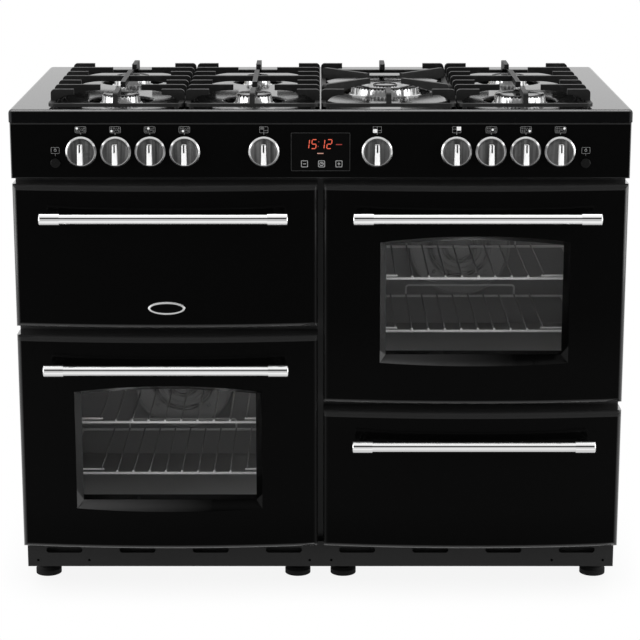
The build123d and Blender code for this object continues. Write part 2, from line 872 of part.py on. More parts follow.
for name, deep in cavity_deep.items():
    x_span, z_span = opening_of(name)
    back = at(liner_depth + deep)
    with BuildPart() as liner:
        block(
            (x_span[0] - liner_wall, x_span[1] + liner_wall),
            (at(liner_depth), back + liner_wall),
            (z_span[0] - liner_wall, z_span[1] + liner_wall),
        )
        block(x_span, (at(liner_depth) - cut, back), z_span, Mode.SUBTRACT)
        if name in oven_doors:
            x, z = fan_axis(name)
            rod_y(x, z, shaft_hole_r, (back - cut, back + liner_wall + cut), Mode.SUBTRACT)
            hole = (back - cut, back + liner_wall + cut)
            rod_y(x + lamp_x, z + lamp_rise, lamp_hole_r, hole, Mode.SUBTRACT)
    save(liner, liner_names[name])

# fans: wheel on a shaft, motor behind the liner, pierced baffle in front
fan_r = 68.0
fan_disc = 1.5
fan_blades = 10
blade_w = 18.0
blade_long = 26.0
blade_thick = 1.5
hub_r = 12.0
shaft_r = 4.0
shaft_long = 36.0
fan_gap = 8.0  # wheel in front of the back wall
motor_r = 30.0
motor_long = 52.0
baffle_r = 100.0
baffle_gap = 36.0
baffle_thick = 1.5
stud_r = 4.0
stud_ring = 92.0
studs = 4
port_ring = 30.0
port_r = 7.0
ports = 8
outer_port_ring = 58.0

for name, label in {"left_oven_door": "left_fan", "right_oven_door": "right_fan"}.items():
    x, z = fan_axis(name)
    disc_y = at(oven_back - fan_gap)
    with BuildPart() as fan:
        rod_y(x, z, fan_r, (disc_y - fan_disc, disc_y))
        rod_y(x, z, hub_r, (disc_y - blade_w, disc_y))
        with Locations(Location((x, disc_y - fan_disc - blade_w / 2, z), (90, 0, 0))):
            with PolarLocations(fan_r - blade_long / 2, fan_blades):
                Box(blade_long, blade_thick, blade_w)
        rod_y(x, z, shaft_r, (disc_y, at(oven_back + liner_wall + shaft_long)))
    save(fan, label)

with BuildPart() as fan_motors:
    for name in oven_doors:
        x, z = fan_axis(name)
        front = at(oven_back + liner_wall)
        rod_y(x, z, motor_r, (front, front + motor_long))
        rod_y(x, z, shaft_r + pin_clear, (front - cut, front + shaft_long + cut), Mode.SUBTRACT)
save(fan_motors, "fan_motors")

with BuildPart() as fan_baffles:
    for name in oven_doors:
        x, z = fan_axis(name)
        front = at(oven_back - baffle_gap)
        rod_y(x, z, baffle_r, (front, front + baffle_thick))
        with Locations(Location((x, front, z), (90, 0, 0))):
            with PolarLocations(port_ring, ports):
                Cylinder(port_r, 4 * baffle_thick, mode=Mode.SUBTRACT)
            with PolarLocations(outer_port_ring, 2 * ports):
                Cylinder(port_r, 4 * baffle_thick, mode=Mode.SUBTRACT)
        with Locations(Location((x, at(oven_back - (baffle_gap - baffle_thick) / 2), z), (90, 0, 0))):
            with PolarLocations(stud_ring, studs):
                Cylinder(stud_r, baffle_gap - baffle_thick)
save(fan_baffles, "fan_baffles")

with BuildPart() as oven_lamps:
    for name in oven_doors:
        x, z = fan_axis(name)
        rod_y(x + lamp_x, z + lamp_rise, lamp_r, (at(oven_back - lamp_r / 2), at(oven_back)))
        rod_y(x + lamp_x, z + lamp_rise, lamp_hole_r - cut, (at(oven_back), at(oven_back + lamp_r)))
    chamfer(oven_lamps.edges().filter_by(GeomType.CIRCLE).group_by(Axis.Y)[0], lamp_r / 4)
save(oven_lamps, "oven_lamps")

# heating: a ring round each fan and a folded rod under the grill's ceiling
ring_r = 80.0
rod_r = 3.5
ring_gap = 18.0
grill_rods = 6
grill_pitch = (cavity_w - 110.0) / (grill_rods - 1)
grill_drop = 26.0
grill_front = liner_depth + 49.0
grill_back = liner_depth + grill_deep - 61.0
hanger_r = 2.5

with BuildPart() as heating_elements:
    for name in oven_doors:
        x, z = fan_axis(name)
        y = at(oven_back - ring_gap)
        with Locations(Location((x, y, z), (90, 0, 0))):
            Torus(ring_r, rod_r)
        for way in (-1, 1):
            rod_y(x + way * rod_r * 3, z - ring_r, hanger_r, (y, at(oven_back)))
    x_span, z_span = opening_of("grill_door")
    z = z_span[1] - grill_drop
    left = sum(x_span) / 2 - grill_pitch * (grill_rods - 1) / 2
    for index in range(grill_rods):
        x = left + index * grill_pitch
        rod_y(x, z, rod_r, (at(grill_front), at(grill_back)))
        rod_z(x, at(grill_front + grill_pitch), hanger_r, (z, z_span[1]))
        turn = at(grill_back if index % 2 else grill_front)
        if index < grill_rods - 1:
            rod_x(turn, z, rod_r, (x, x + grill_pitch))
save(heating_elements, "heating_elements")

# shelves on ladders, and the grill pan
shelf_rises = (206.0, 106.0)  # above each oven door's bottom edge
shelf_half = cavity_w / 2 - 10.0
shelf_front = liner_depth + 59.0
shelf_back = oven_back - 61.0
shelf_rail_r = 2.5
shelf_wire_r = 1.6
shelf_wires = 10
wire_pitch = 0.149 * shelf_half
wire_rise = 1.7  # wires lie a little above the rails they are welded to
wire_over = 3.2  # wires run on past the rails
corner_set = 24.0  # short corner bars, behind the front rail
corner_r = 2.0
shelf_stop = 22.0
stop_wires = 3.5  # the rear stop's posts stand on the wires this many pitches out
stop_seam = 0.2  # hairline at the weld under the stop's posts
runner_w = 14.0
runner_high = 4.0
runner_front = liner_depth + 24.0
runner_back = oven_back - 41.0
ladder_r = 3.0
pan_half = cavity_w / 2 - 25.0
pan_front = liner_depth + 44.0
pan_back = liner_depth + grill_deep - 36.0
pan_high = 30.0
pan_wall = 1.5
pan_rise = 70.0  # above the grill door's bottom edge
pan_wires = 11
pan_wire_r = 1.5
pan_runner_w = 35.0

with BuildPart() as oven_shelves:
    for name in oven_doors:
        x, bottom, _ = fronts[name]
        for rise in shelf_rises:
            z = bottom + rise
            for way in (-1, 1):
                rod_y(x + way * shelf_half, z, shelf_rail_r, (at(shelf_front), at(shelf_back)))
            for depth in (shelf_front, shelf_back):
                rod_x(at(depth), z, shelf_rail_r, (x - shelf_half, x + shelf_half))
            outer = wire_pitch * (shelf_wires - 1) / 2
            for index in range(shelf_wires):
                along = x - outer + wire_pitch * index
                start = shelf_front if 0 < index < shelf_wires - 1 else shelf_front + corner_set
                ends = (at(start - wire_over), at(shelf_back + wire_over))
                rod_y(along, z + wire_rise, shelf_wire_r, ends)
            for way in (-1, 1):
                ends = sorted((x + way * (outer - wire_over), x + way * shelf_half))
                rod_x(at(shelf_front + corner_set), z, corner_r, ends)
                foot = z + wire_rise + shelf_wire_r + stop_seam
                post = x + way * stop_wires * wire_pitch
                rod_z(post, at(shelf_back), shelf_wire_r, (foot, z + shelf_stop))
            reach = stop_wires * wire_pitch + shelf_rail_r
            rod_x(at(shelf_back), z + shelf_stop, shelf_rail_r, (x - reach, x + reach))
save(oven_shelves, "oven_shelves")

with BuildPart() as shelf_ladders:
    for name in oven_doors:
        x_span, z_span = opening_of(name)
        bottom = fronts[name][1]
        for wall, way in ((x_span[0], 1), (x_span[1], -1)):
            near, far = sorted((wall, wall + way * runner_w))
            for rise in shelf_rises:
                top = bottom + rise - shelf_rail_r
                block((near, far), (at(runner_front), at(runner_back)), (top - runner_high, top))
            for depth in (runner_front, runner_back):
                rod_z(wall + way * ladder_r, at(depth), ladder_r, z_span)
    x_span, _ = opening_of("grill_door")
    top = fronts["grill_door"][1] + pan_rise
    for wall, way in ((x_span[0], 1), (x_span[1], -1)):
        near, far = sorted((wall, wall + way * pan_runner_w))
        block((near, far), (at(pan_front), at(pan_back)), (top - runner_high, top))
save(shelf_ladders, "shelf_ladders")

with BuildPart() as grill_pan:
    x, bottom, _ = fronts["grill_door"]
    pan_y = (at(pan_front), at(pan_back))
    low = bottom + pan_rise
    block((x - pan_half, x + pan_half), pan_y, (low, low + pan_high))
    block(
        (x - pan_half + pan_wall, x + pan_half - pan_wall),
        (pan_y[0] + pan_wall, pan_y[1] - pan_wall),
        (low + pan_wall, low + pan_high + cut),
        Mode.SUBTRACT,
    )
    for index in range(pan_wires):
        along = x + pan_half * (2 * (index + 1) / (pan_wires + 1) - 1)
        rod_y(along, low + pan_high - 2 * pan_wire_r, pan_wire_r, pan_y)
save(grill_pan, "grill_pan")

# drawer: box with runners, and the rails it slides in
box_half = cavity_w / 2 - 15.0
box_low = 34.0
box_high = short_front - 56.0
box_wall = 1.5
box_end = back_depth - 105.0
lip_w = 9.0
lip_high = 6.0
lip_rise = 110.0
lip_front = 60.0
rail_gap = 0.6
rail_lap = 7.0
rail_web = 12.0
rail_flange = 3.0
rail_end = back_depth - 75.0

with BuildPart() as drawer_box:
    x, bottom, height = fronts["drawer"]
    block(
        (x - front_w / 2 + panel_inset, x + front_w / 2 - panel_inset),
        (at(skin_end), at(front_thick)),
        (bottom + panel_inset, bottom + height - panel_inset),
    )
    block((x - box_half, x + box_half), (at(front_thick), at(box_end)), (bottom + box_low, bottom + box_high))
    block(
        (x - box_half + box_wall, x + box_half - box_wall),
        (at(front_thick), at(box_end - box_wall)),
        (bottom + box_low + box_wall, bottom + box_high + cut),
        Mode.SUBTRACT,
    )
    for way in (-1, 1):
        near, far = sorted((x + way * box_half, x + way * (box_half + lip_w)))
        middle = bottom + lip_rise
        block((near, far), (at(lip_front), at(box_end)), (middle - lip_high / 2, middle + lip_high / 2))
save(drawer_box, "drawer_box")

with BuildPart() as drawer_rails:
    middle = bottom + lip_rise
    for way in (-1, 1):
        lip_end = x + way * (box_half + lip_w + rail_gap)
        near, far = sorted((lip_end, lip_end + way * rail_web))
        tall = lip_high / 2 + rail_gap + rail_flange
        block((near, far), (at(liner_depth), at(rail_end)), (middle - tall, middle + tall))
        near, far = sorted((lip_end, lip_end - way * rail_lap))
        for up in (-1, 1):
            z_span = sorted((middle + up * tall, middle + up * (tall - rail_flange)))
            block((near, far), (at(liner_depth), at(rail_end)), z_span)
save(drawer_rails, "drawer_rails")
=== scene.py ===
import math

import bmesh
import bpy
import numpy as np
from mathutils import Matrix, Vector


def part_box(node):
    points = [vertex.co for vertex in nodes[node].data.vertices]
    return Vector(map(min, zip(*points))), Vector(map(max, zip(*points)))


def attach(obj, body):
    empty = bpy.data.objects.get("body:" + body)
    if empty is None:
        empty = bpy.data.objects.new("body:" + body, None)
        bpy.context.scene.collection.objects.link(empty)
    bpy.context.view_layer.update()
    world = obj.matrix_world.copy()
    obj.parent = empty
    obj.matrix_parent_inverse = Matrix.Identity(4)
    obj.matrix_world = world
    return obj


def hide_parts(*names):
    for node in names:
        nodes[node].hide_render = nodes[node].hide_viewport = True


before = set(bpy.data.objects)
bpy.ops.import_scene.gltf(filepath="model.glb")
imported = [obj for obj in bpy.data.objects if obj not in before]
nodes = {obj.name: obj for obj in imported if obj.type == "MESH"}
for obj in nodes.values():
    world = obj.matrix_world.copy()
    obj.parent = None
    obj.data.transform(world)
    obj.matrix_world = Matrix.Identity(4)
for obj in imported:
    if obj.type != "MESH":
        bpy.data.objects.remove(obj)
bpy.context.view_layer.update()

mm = 0.001
frontY = -271.75  # hob's front edge in mm; depths run back from it
print("frame loaded:", len(nodes), "nodes")


class Wire:
    # a socket that takes arithmetic: every operator adds one Math node to the socket's tree
    def __init__(self, finish, socket):
        self.finish = finish
        self.socket = socket

    def math(self, operation, *values):
        return self.finish.add("ShaderNodeMath", {"operation": operation}, dict(enumerate(values)))

    def __add__(self, other):
        return self.math("ADD", self, other)

    def __radd__(self, other):
        return self.math("ADD", other, self)

    def __sub__(self, other):
        return self.math("SUBTRACT", self, other)

    def __rsub__(self, other):
        return self.math("SUBTRACT", other, self)

    def __mul__(self, other):
        return self.math("MULTIPLY", self, other)

    def __truediv__(self, other):
        return self.math("DIVIDE", self, other)

    def __gt__(self, other):
        return self.math("GREATER_THAN", self, other)

    def __abs__(self):
        return self.math("ABSOLUTE", self)


class Finish:
    # one material, or the world's nodes; add() makes any node from its type, its settings and its sockets'
    # values or wires
    def __init__(self, name, world=None):
        self.material = world or bpy.data.materials.new(name)
        self.material.use_nodes = True
        self.tree = self.material.node_tree
        self.tree.nodes.clear()
        self.place = self.add("ShaderNodeTexCoord", out="Generated" if world else "Object")

    def add(self, kind, settings=None, sockets=None, out=0):
        node = self.tree.nodes.new(kind)
        for key, value in (settings or {}).items():
            setattr(node, key, value)
        for key, value in (sockets or {}).items():
            if isinstance(value, Wire):
                self.tree.links.new(value.socket, node.inputs[key])
            else:
                node.inputs[key].default_value = value
        return None if out is None else Wire(self, node.outputs[out])

    def noise(self, scale, detail, rough, place=None):
        return self.add("ShaderNodeTexNoise", None, {
            "Vector": place or self.place, "Scale": scale, "Detail": detail, "Roughness": rough})

    def streaks(self, along, detail, rough):
        # noise on coordinates scaled on each axis, for drawn or brushed grain
        place = self.add("ShaderNodeMapping", None, {"Vector": self.place, "Scale": along})
        return self.noise(1.0, detail, rough, place)

    def specks(self, scale):
        return self.add("ShaderNodeTexVoronoi", {"feature": "F1"}, {"Vector": self.place, "Scale": scale})

    def ramp(self, value, low, high):
        # 0 at low, 1 at high, straight in between; low may be the greater
        return self.add("ShaderNodeMapRange", {"clamp": True}, {
            "Value": value, "From Min": low, "From Max": high, "To Min": 0.0, "To Max": 1.0})

    def blend(self, factor, first, second):
        return self.add("ShaderNodeMix", {"data_type": "RGBA"}, {0: factor, 6: first, 7: second}, out=2)

    def bump(self, height, distance, strength):
        return self.add("ShaderNodeBump", None, {
            "Height": height, "Distance": distance, "Strength": strength})

    def axes(self):
        # object coordinates as three wires, in metres
        return [self.add("ShaderNodeSeparateXYZ", None, {0: self.place}, out=axis) for axis in "XYZ"]

    def surface(self, sockets):
        return self.close(self.add("ShaderNodeBsdfPrincipled", None, sockets))

    def close(self, shader):
        self.add("ShaderNodeOutputMaterial", None, {"Surface": shader}, out=None)
        return self.material


def grey(value):
    return (value, value, value, 1.0)


# finishes: each kind has its numbers in one dictionary beside its nodes, lengths in metres; a noise is its
# scale, detail and roughness, a streak the last two of these, a bump its height and strength

enamelLook = {
    "fleck": (900.0, 1.0, 0.5), "fleckEdge": (0.62, 0.75), "peel": (260.0, 2.0, 0.45), "bump": (0.00004, 0.5),
    "smear": (5.0, 5.0, 0.62), "smearGloss": 0.6, "coat": 1.0, "coatRough": 0.1, "crisp": 0.0005,
    "slack": 0.001, "inner": 0.08, "outward": (0.02, 0.4), "lipHighlightGrey": 0.25, "lipHigh": 0.004,
}
windowLook = {
    "half": 0.178, "low": 0.066, "high": 0.086, "coat": 0.7, "bevelSheenGrey": 0.03, "bowRadius": 2.3467,
    "sunk": (0.0003, 0.0009), "fade": (0.08, -0.15),
}
frontNames = ["grill_door", "left_oven_door", "right_oven_door", "drawer"]


def insideBox(f, low, high):
    # how far a point lies inside an upright box, seen from the front; negative outside
    x, _, z = f.axes()
    across = (high[0] - low[0]) / 2 - abs(x - (high[0] + low[0]) / 2)
    over = (high[1] - low[1]) / 2 - abs(z - (high[1] + low[1]) / 2)
    return across.math("MINIMUM", across, over)


def paintedEdgeHighlight(f, parts, reach):
    # painted highlight, with extra coat, on rounded bottom edges and on the cooker's own sides: 1 on the
    # outline, 0 a little way in, and faint on the sides that meet in the middle
    x, _, z = f.axes()
    inner = enamelLook["inner"]
    outer = f.ramp(abs(x), *enamelLook["outward"]) * (1.0 - inner) + inner
    total = 0.0
    for part in parts:
        low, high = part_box(part)
        inside = insideBox(f, (low.x, low.z), (high.x, high.z)) > -enamelLook["slack"]
        sides = f.ramp((high.x - low.x) / 2 - abs(x - (high.x + low.x) / 2), reach, reach / 3) * outer
        total = sides.math("MAXIMUM", sides, f.ramp(z - low.z, reach, reach / 3)) * inside + total
    return total


def paintedTopHighlight(f, parts, deep):
    # each front's turned-over top edge, where a painted highlight turns the enamel greyer
    total = 0.0
    for part in parts:
        low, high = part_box(part)
        top = deep - (high.z - f.axes()[2])
        inside = insideBox(f, (low.x, low.z), (high.x, high.z))
        total = f.ramp(top, 0.0, enamelLook["crisp"]) * f.ramp(inside, -enamelLook["slack"], 0.0) + total
    return total


def paintedBevelSheen(f, parts):
    # what lies behind a front's bowed face, inside the window's box: y less the arc's height over its
    # chord; the bevel gets a painted reflection, grey on the left and fading out to the right
    look = windowLook
    total = 0.0
    x, y, _ = f.axes()
    for part in parts:
        low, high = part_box(part)
        middle = (low.x + high.x) / 2
        aside = x - middle
        sunk = y - (aside * aside / (2 * look["bowRadius"]) + low.y)
        inside = insideBox(f, (middle - look["half"], low.z + look["low"]),
                           (middle + look["half"], high.z - look["high"]))
        total = f.ramp(sunk, *look["sunk"]) * (inside > 0.0) * f.ramp(aside, *look["fade"]) + total
    return total


def paintedLipHighlight(f, part, lip):
    # the rounded front lip of a flat panel: near its front face and near its top; it gets a painted highlight
    # and extra coat
    low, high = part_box(part)
    _, y, z = f.axes()
    top = f.ramp(z, high.z - enamelLook["lipHigh"], high.z - enamelLook["slack"])
    return f.ramp(y, low.y + lip, low.y + lip / 2) * top


def glossEnamel(name, deep, pale, gloss, tint, edged=(), reach=0.0, edgeHighlightGrey=0.0, windows=(), band=None,
                lip=None):
    # vitreous enamel: near-black glass coat, faint orange peel, wiped smears in the gloss; edged names the
    # nodes whose edges get extra coat and a painted highlight, band is the depth and grey of a painted
    # highlight on the top edges, lip a node and its lip's depth, where a painted highlight goes
    f = Finish(name)
    look = enamelLook
    smear, peel = f.noise(*look["smear"]), f.noise(*look["peel"])
    fleck = f.ramp(f.noise(*look["fleck"]), *look["fleckEdge"])
    colour = f.blend(fleck, deep, pale)
    glaze, coat = {}, 0.0
    if edged:
        edgeHighlightMask = paintedEdgeHighlight(f, edged, reach)
        coat = edgeHighlightMask * look["coat"]
        # painted highlight: the edges' base colour turned grey
        colour = f.blend(edgeHighlightMask, colour, grey(edgeHighlightGrey))
    if band:
        # painted highlight along the top edges
        colour = f.blend(paintedTopHighlight(f, edged, band[0]), colour, grey(band[1]))
    if windows:
        # painted reflection on the window bevels, with extra coat
        bevelSheen = paintedBevelSheen(f, windows)
        coat = coat + bevelSheen * windowLook["coat"]
        colour = f.blend(bevelSheen, colour, grey(windowLook["bevelSheenGrey"]))
    if lip:
        coat = paintedLipHighlight(f, *lip)
        # painted highlight on the lip
        colour = f.blend(coat, colour, grey(look["lipHighlightGrey"]))
    if edged or lip:
        glaze = {"Coat Weight": coat, "Coat Roughness": look["coatRough"]}
    return f.surface({
        "Base Color": colour,
        "Roughness": gloss + smear * gloss * look["smearGloss"],
        "Specular Tint": tint,
        "Normal": f.bump(peel, *look["bump"]), **glaze})


satinLook = {"grain": (1400.0, 2.0, 0.6), "grainGloss": 0.18, "bump": (0.00008, 0.6),
             "cloud": (9.0, 4.0, 0.6)}


def satinPaint(name, deep, pale, rough, shine=0.5):
    # powder-coated steel: fine pebble grain and slow cloudy drift in tone
    f = Finish(name)
    grain, cloud = f.noise(*satinLook["grain"]), f.noise(*satinLook["cloud"])
    return f.surface({
        "Base Color": f.blend(cloud, deep, pale),
        "Roughness": rough + (grain - 0.5) * satinLook["grainGloss"],
        "Specular IOR Level": shine,
        "Normal": f.bump(grain, *satinLook["bump"])})


metalLook = {"scratch": (3.0, 0.7), "scratchGloss": 0.5, "strength": 0.4, "mark": (24.0, 4.0, 0.6),
             "markGloss": 0.4}


def drawnMetal(name, tint, shade, rough, along, height=0.00002, metal=1.0):
    # polished or brushed metal: scratches scaled on each axis by along, cloudy handling marks in the gloss
    f = Finish(name)
    scratch, mark = f.streaks(along, *metalLook["scratch"]), f.noise(*metalLook["mark"])
    scratched = rough + scratch * rough * metalLook["scratchGloss"]
    return f.surface({
        "Base Color": f.blend(mark, shade, tint),
        "Metallic": metal,
        "Roughness": scratched + mark * rough * metalLook["markGloss"],
        "Normal": f.bump(scratch, height, metalLook["strength"])})


castLook = {"pit": (700.0, 4.0, 0.65), "pitGloss": 0.25, "pitShare": 0.6, "lump": (90.0, 3.0, 0.5),
            "rub": (1.05, 1.3), "bump": (0.00025, 0.7), "tint": grey(0.55)}


def castIron(name, deep, pale, rough):
    # matt enamelled casting: sand-cast pits over slow lumps, greyer where it is rubbed
    f = Finish(name)
    pit, lump = f.noise(*castLook["pit"]), f.noise(*castLook["lump"])
    rub = f.ramp(pit + lump, *castLook["rub"])
    return f.surface({
        "Base Color": f.blend(rub, deep, pale),
        "Roughness": rough + (pit - 0.5) * castLook["pitGloss"],
        "Specular Tint": castLook["tint"],
        "Normal": f.bump(pit * castLook["pitShare"] + lump, *castLook["bump"])})


speckLook = {"size": 420.0, "edge": (0.26, 0.12), "speckShare": 0.2, "cloud": (14.0, 4.0, 0.6),
             "cloudGloss": 0.12, "bump": (0.0003, 0.3)}


def speckledEnamel(name, deep, pale, rough):
    # oven lining: grey enamel sprayed with pale specks
    f = Finish(name)
    speck = f.ramp(f.specks(speckLook["size"]), *speckLook["edge"])
    cloud = f.noise(*speckLook["cloud"])
    return f.surface({
        "Base Color": f.blend(speck * cloud, deep, pale),
        "Roughness": rough + cloud * speckLook["cloudGloss"],
        "Normal": f.bump(cloud + speck * speckLook["speckShare"], *speckLook["bump"])})


plasticLook = {"grain": (2.0, 0.5), "grainGloss": 0.12, "bump": (0.00006, 0.4), "drift": (18.0, 3.0, 0.5)}


def mouldedPlastic(name, deep, pale, rough, grain=1800.0, shine=0.5):
    # moulded resin with a spark-eroded texture
    f = Finish(name)
    texture, drift = f.noise(grain, *plasticLook["grain"]), f.noise(*plasticLook["drift"])
    return f.surface({
        "Base Color": f.blend(drift, deep, pale),
        "Roughness": rough + (texture - 0.5) * plasticLook["grainGloss"],
        "Specular IOR Level": shine,
        "Normal": f.bump(texture, *plasticLook["bump"])})


glowLook = {"patch": (600.0, 1.0, 0.5), "dim": 0.8, "rough": 0.4}


def glowFinish(name, colour, power, base=0.01):
    # something lit, a little uneven
    f = Finish(name)
    patch = f.noise(*glowLook["patch"])
    dim = tuple(value * glowLook["dim"] for value in colour[:3]) + (1.0,)
    return f.surface({
        "Base Color": grey(base),
        "Roughness": glowLook["rough"],
        "Emission Strength": power,
        "Emission Color": f.blend(patch, dim, colour)})


paneLook = {"tint": grey(0.004), "cover": 0.008, "haze": 0.03, "smear": (8.0, 5.0, 0.65), "rough": 0.03,
            "smearGloss": 0.05, "shine": grey(0.12)}


def tintedPane(name):
    # oven glass: smoked, wiped, and clear enough to show the shelves
    f = Finish(name)
    smear = f.noise(*paneLook["smear"])
    return f.surface({
        "Base Color": paneLook["tint"],
        "Roughness": paneLook["rough"] + smear * paneLook["smearGloss"],
        "Specular Tint": paneLook["shine"],
        "Alpha": paneLook["cover"] + smear * paneLook["haze"]})


black = grey(0.0012)
slotFinishes = {
    # door and fascia enamels carry painted highlights on their edges and top edges, the doors also a painted
    # reflection on the window bevels; the hob's enamel a painted highlight on its front lip
    "door_enamel": glossEnamel(
        "doorEnamel", black, grey(0.003), 0.07, grey(0.05), edged=[name + "_skin" for name in frontNames],
        reach=0.008, edgeHighlightGrey=0.04, windows=["left_oven_door_skin", "right_oven_door_skin"],
        band=(0.0105, 0.017)),
    "fascia_enamel": glossEnamel(
        "fasciaEnamel", black, grey(0.003), 0.09, grey(0.05), edged=["control_fascia"],
        reach=0.0025, edgeHighlightGrey=0.006, band=(0.0034, 0.026)),
    "hob_enamel": glossEnamel(
        "hobEnamel", black, grey(0.004), 0.08, (0.097, 0.1, 0.107, 1.0), lip=("hob_panel", 0.005)),
    "panel_enamel": glossEnamel("panelEnamel", grey(0.012), grey(0.02), 0.2, grey(0.6)),
    "shell_paint": satinPaint("shellPaint", grey(0.010), grey(0.016), 0.42),
    "frame_paint": satinPaint("framePaint", grey(0.008), grey(0.013), 0.45),
    "plinth_paint": satinPaint("plinthPaint", grey(0.005), grey(0.01), 0.5, shine=0.26),
    "box_paint": satinPaint("boxPaint", grey(0.03), grey(0.05), 0.5),
    "zinc_sheet": drawnMetal("zincSheet", grey(0.55), grey(0.38), 0.42, (40.0, 40.0, 6.0)),
    "foot_plastic": mouldedPlastic("footPlastic", grey(0.003), grey(0.006), 0.7, shine=0.15),
    "burner_alloy": drawnMetal(
        "burnerAlloy", grey(0.92), grey(0.78), 0.1, (300.0, 300.0, 900.0), height=0.000008, metal=0.7),
    "cap_enamel": glossEnamel("capEnamel", grey(0.004), grey(0.008), 0.07, grey(1.0)),
    "electrode_ceramic": mouldedPlastic(
        "electrodeCeramic", (0.72, 0.69, 0.62, 1.0), (0.6, 0.57, 0.5, 1.0), 0.3),
    "display_plastic": glossEnamel("displayPane", grey(0.0015), grey(0.0025), 0.05, grey(0.08)),
    "bezel_metal": drawnMetal("bezelMetal", grey(0.82), grey(0.66), 0.2, (900.0, 900.0, 900.0)),
    "knob_metal": drawnMetal("knobMetal", grey(0.5), grey(0.36), 0.26, (1200.0, 60.0, 60.0)),
    "tap_brass": drawnMetal(
        "tapBrass", (0.72, 0.52, 0.24, 1.0), (0.58, 0.4, 0.18, 1.0), 0.3, (200.0, 900.0, 200.0)),
    "pipe_steel": drawnMetal("pipeSteel", grey(0.58), grey(0.44), 0.36, (30.0, 300.0, 300.0)),
    "hinge_steel": drawnMetal("hingeSteel", grey(0.55), grey(0.42), 0.34, (300.0, 40.0, 300.0)),
    "seal_rubber": mouldedPlastic("sealRubber", grey(0.014), grey(0.022), 0.7, grain=900.0),
    "liner_enamel": speckledEnamel("linerEnamel", grey(0.46), grey(0.6), 0.3),
    "baffle_enamel": speckledEnamel("baffleEnamel", grey(0.52), grey(0.62), 0.28),
    "pan_enamel": speckledEnamel("panEnamel", grey(0.02), grey(0.2), 0.25),
    "fan_steel": drawnMetal("fanSteel", grey(0.55), grey(0.42), 0.35, (400.0, 400.0, 400.0)),
    "motor_plastic": mouldedPlastic("motorPlastic", grey(0.02), grey(0.03), 0.5),
    "lamp_glass": glowFinish("lampGlass", (1.0, 0.97, 0.92, 1.0), 5.0, base=0.6),
    "element_steel": drawnMetal("elementSteel", grey(0.24), grey(0.15), 0.45, (300.0, 300.0, 300.0)),
    "shelf_chrome": drawnMetal(
        "shelfChrome", grey(0.98), grey(0.93), 0.2, (60.0, 60.0, 400.0), height=0.000008, metal=0.1),
    "support_iron": castIron("supportIron", grey(0.005), grey(0.014), 0.5),
    "button_plastic": glossEnamel("buttonPlastic", grey(0.003), grey(0.006), 0.16, grey(0.25)),
    "handle_chrome": drawnMetal(
        "handleChrome", grey(0.93), grey(0.84), 0.035, (30.0, 400.0, 400.0), height=0.000004),
    "window_glass": tintedPane("windowGlass"),
}

dressed = 0
for node in nodes.values():
    for index, shown in enumerate(node.data.materials):
        key = shown.name.split(".")[0]
        if key in slotFinishes:
            node.data.materials[index] = slotFinishes[key]
            dressed += 1
print("finishes:", len(slotFinishes), "on", dressed, "nodes")

# mesh helpers: points are in mm, depths run back from the hob's front edge

meshing = {"crease": 32.0, "merge": 2e-6, "sliver": 1e-6, "mitre": 0.4}
barEnd = {"tip": 0.6, "shoulder": 0.4, "narrow": 0.75}  # an open bar's dome, in radii


def gridFaces(rows, cols):
    # quads of a lattice of points that are numbered row by row
    corner = (np.arange(rows - 1)[:, None] * cols + np.arange(cols - 1)).ravel()
    return np.stack([corner, corner + 1, corner + cols + 1, corner + cols], axis=1)


def gather(shapes):
    # several (points, faces) shapes as one, with the later faces renumbered
    points = np.concatenate([shape[0] for shape in shapes])
    starts = np.cumsum([0] + [len(shape[0]) for shape in shapes[:-1]])
    return points, np.concatenate([shape[1] + start for shape, start in zip(shapes, starts)])


def putPiece(name, shape, finish, body, stands=(), closed=True):
    # a mesh piece that rides on a body; merging doubles closes its seams and poles
    points, faces = shape
    mesh = bpy.data.meshes.new(name)
    mesh.from_pydata((points * mm).tolist(), [], faces.tolist())
    shell = bmesh.new()
    shell.from_mesh(mesh)
    bmesh.ops.remove_doubles(shell, verts=shell.verts, dist=meshing["merge"])
    bmesh.ops.dissolve_degenerate(shell, edges=shell.edges, dist=meshing["sliver"])
    if closed:
        bmesh.ops.recalc_face_normals(shell, faces=shell.faces)
    shell.to_mesh(mesh)
    shell.free()
    mesh.polygons.foreach_set("use_smooth", np.ones(len(mesh.polygons), dtype=bool))
    mesh.set_sharp_from_angle(angle=math.radians(meshing["crease"]))
    mesh.materials.append(finish)
    piece = bpy.data.objects.new(name, mesh)
    bpy.context.scene.collection.objects.link(piece)
    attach(piece, body)
    if stands:
        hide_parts(*stands)


def bend(middle, radius, start, end, steps=6):
    # points of an arc in a profile, angles in degrees
    angle = np.radians(np.linspace(start, end, steps + 1))
    return [(middle[0] + radius * c, middle[1] + radius * s) for c, s in zip(np.cos(angle), np.sin(angle))]


def turned(profile, centre, axis, sides, shape=None):
    # a profile of (radius, height) spun about an upright or front-to-back axis through centre;
    # shape(radius, height, angle) may change the radius round the turn
    radius, height = np.array(profile, dtype=float).T
    angle = np.linspace(0.0, 2 * np.pi, sides + 1)[None, :]
    spread = radius[:, None] * np.ones_like(angle)
    rise = height[:, None] * np.ones_like(angle)
    if shape:
        spread = shape(spread, rise, angle)
    across, over = spread * np.cos(angle), spread * np.sin(angle)
    lay = (across, over, rise) if axis == "z" else (across, rise, over)
    points = np.stack(lay, axis=-1).reshape(-1, 3) + np.array(centre)
    return points, gridFaces(len(radius), sides + 1)


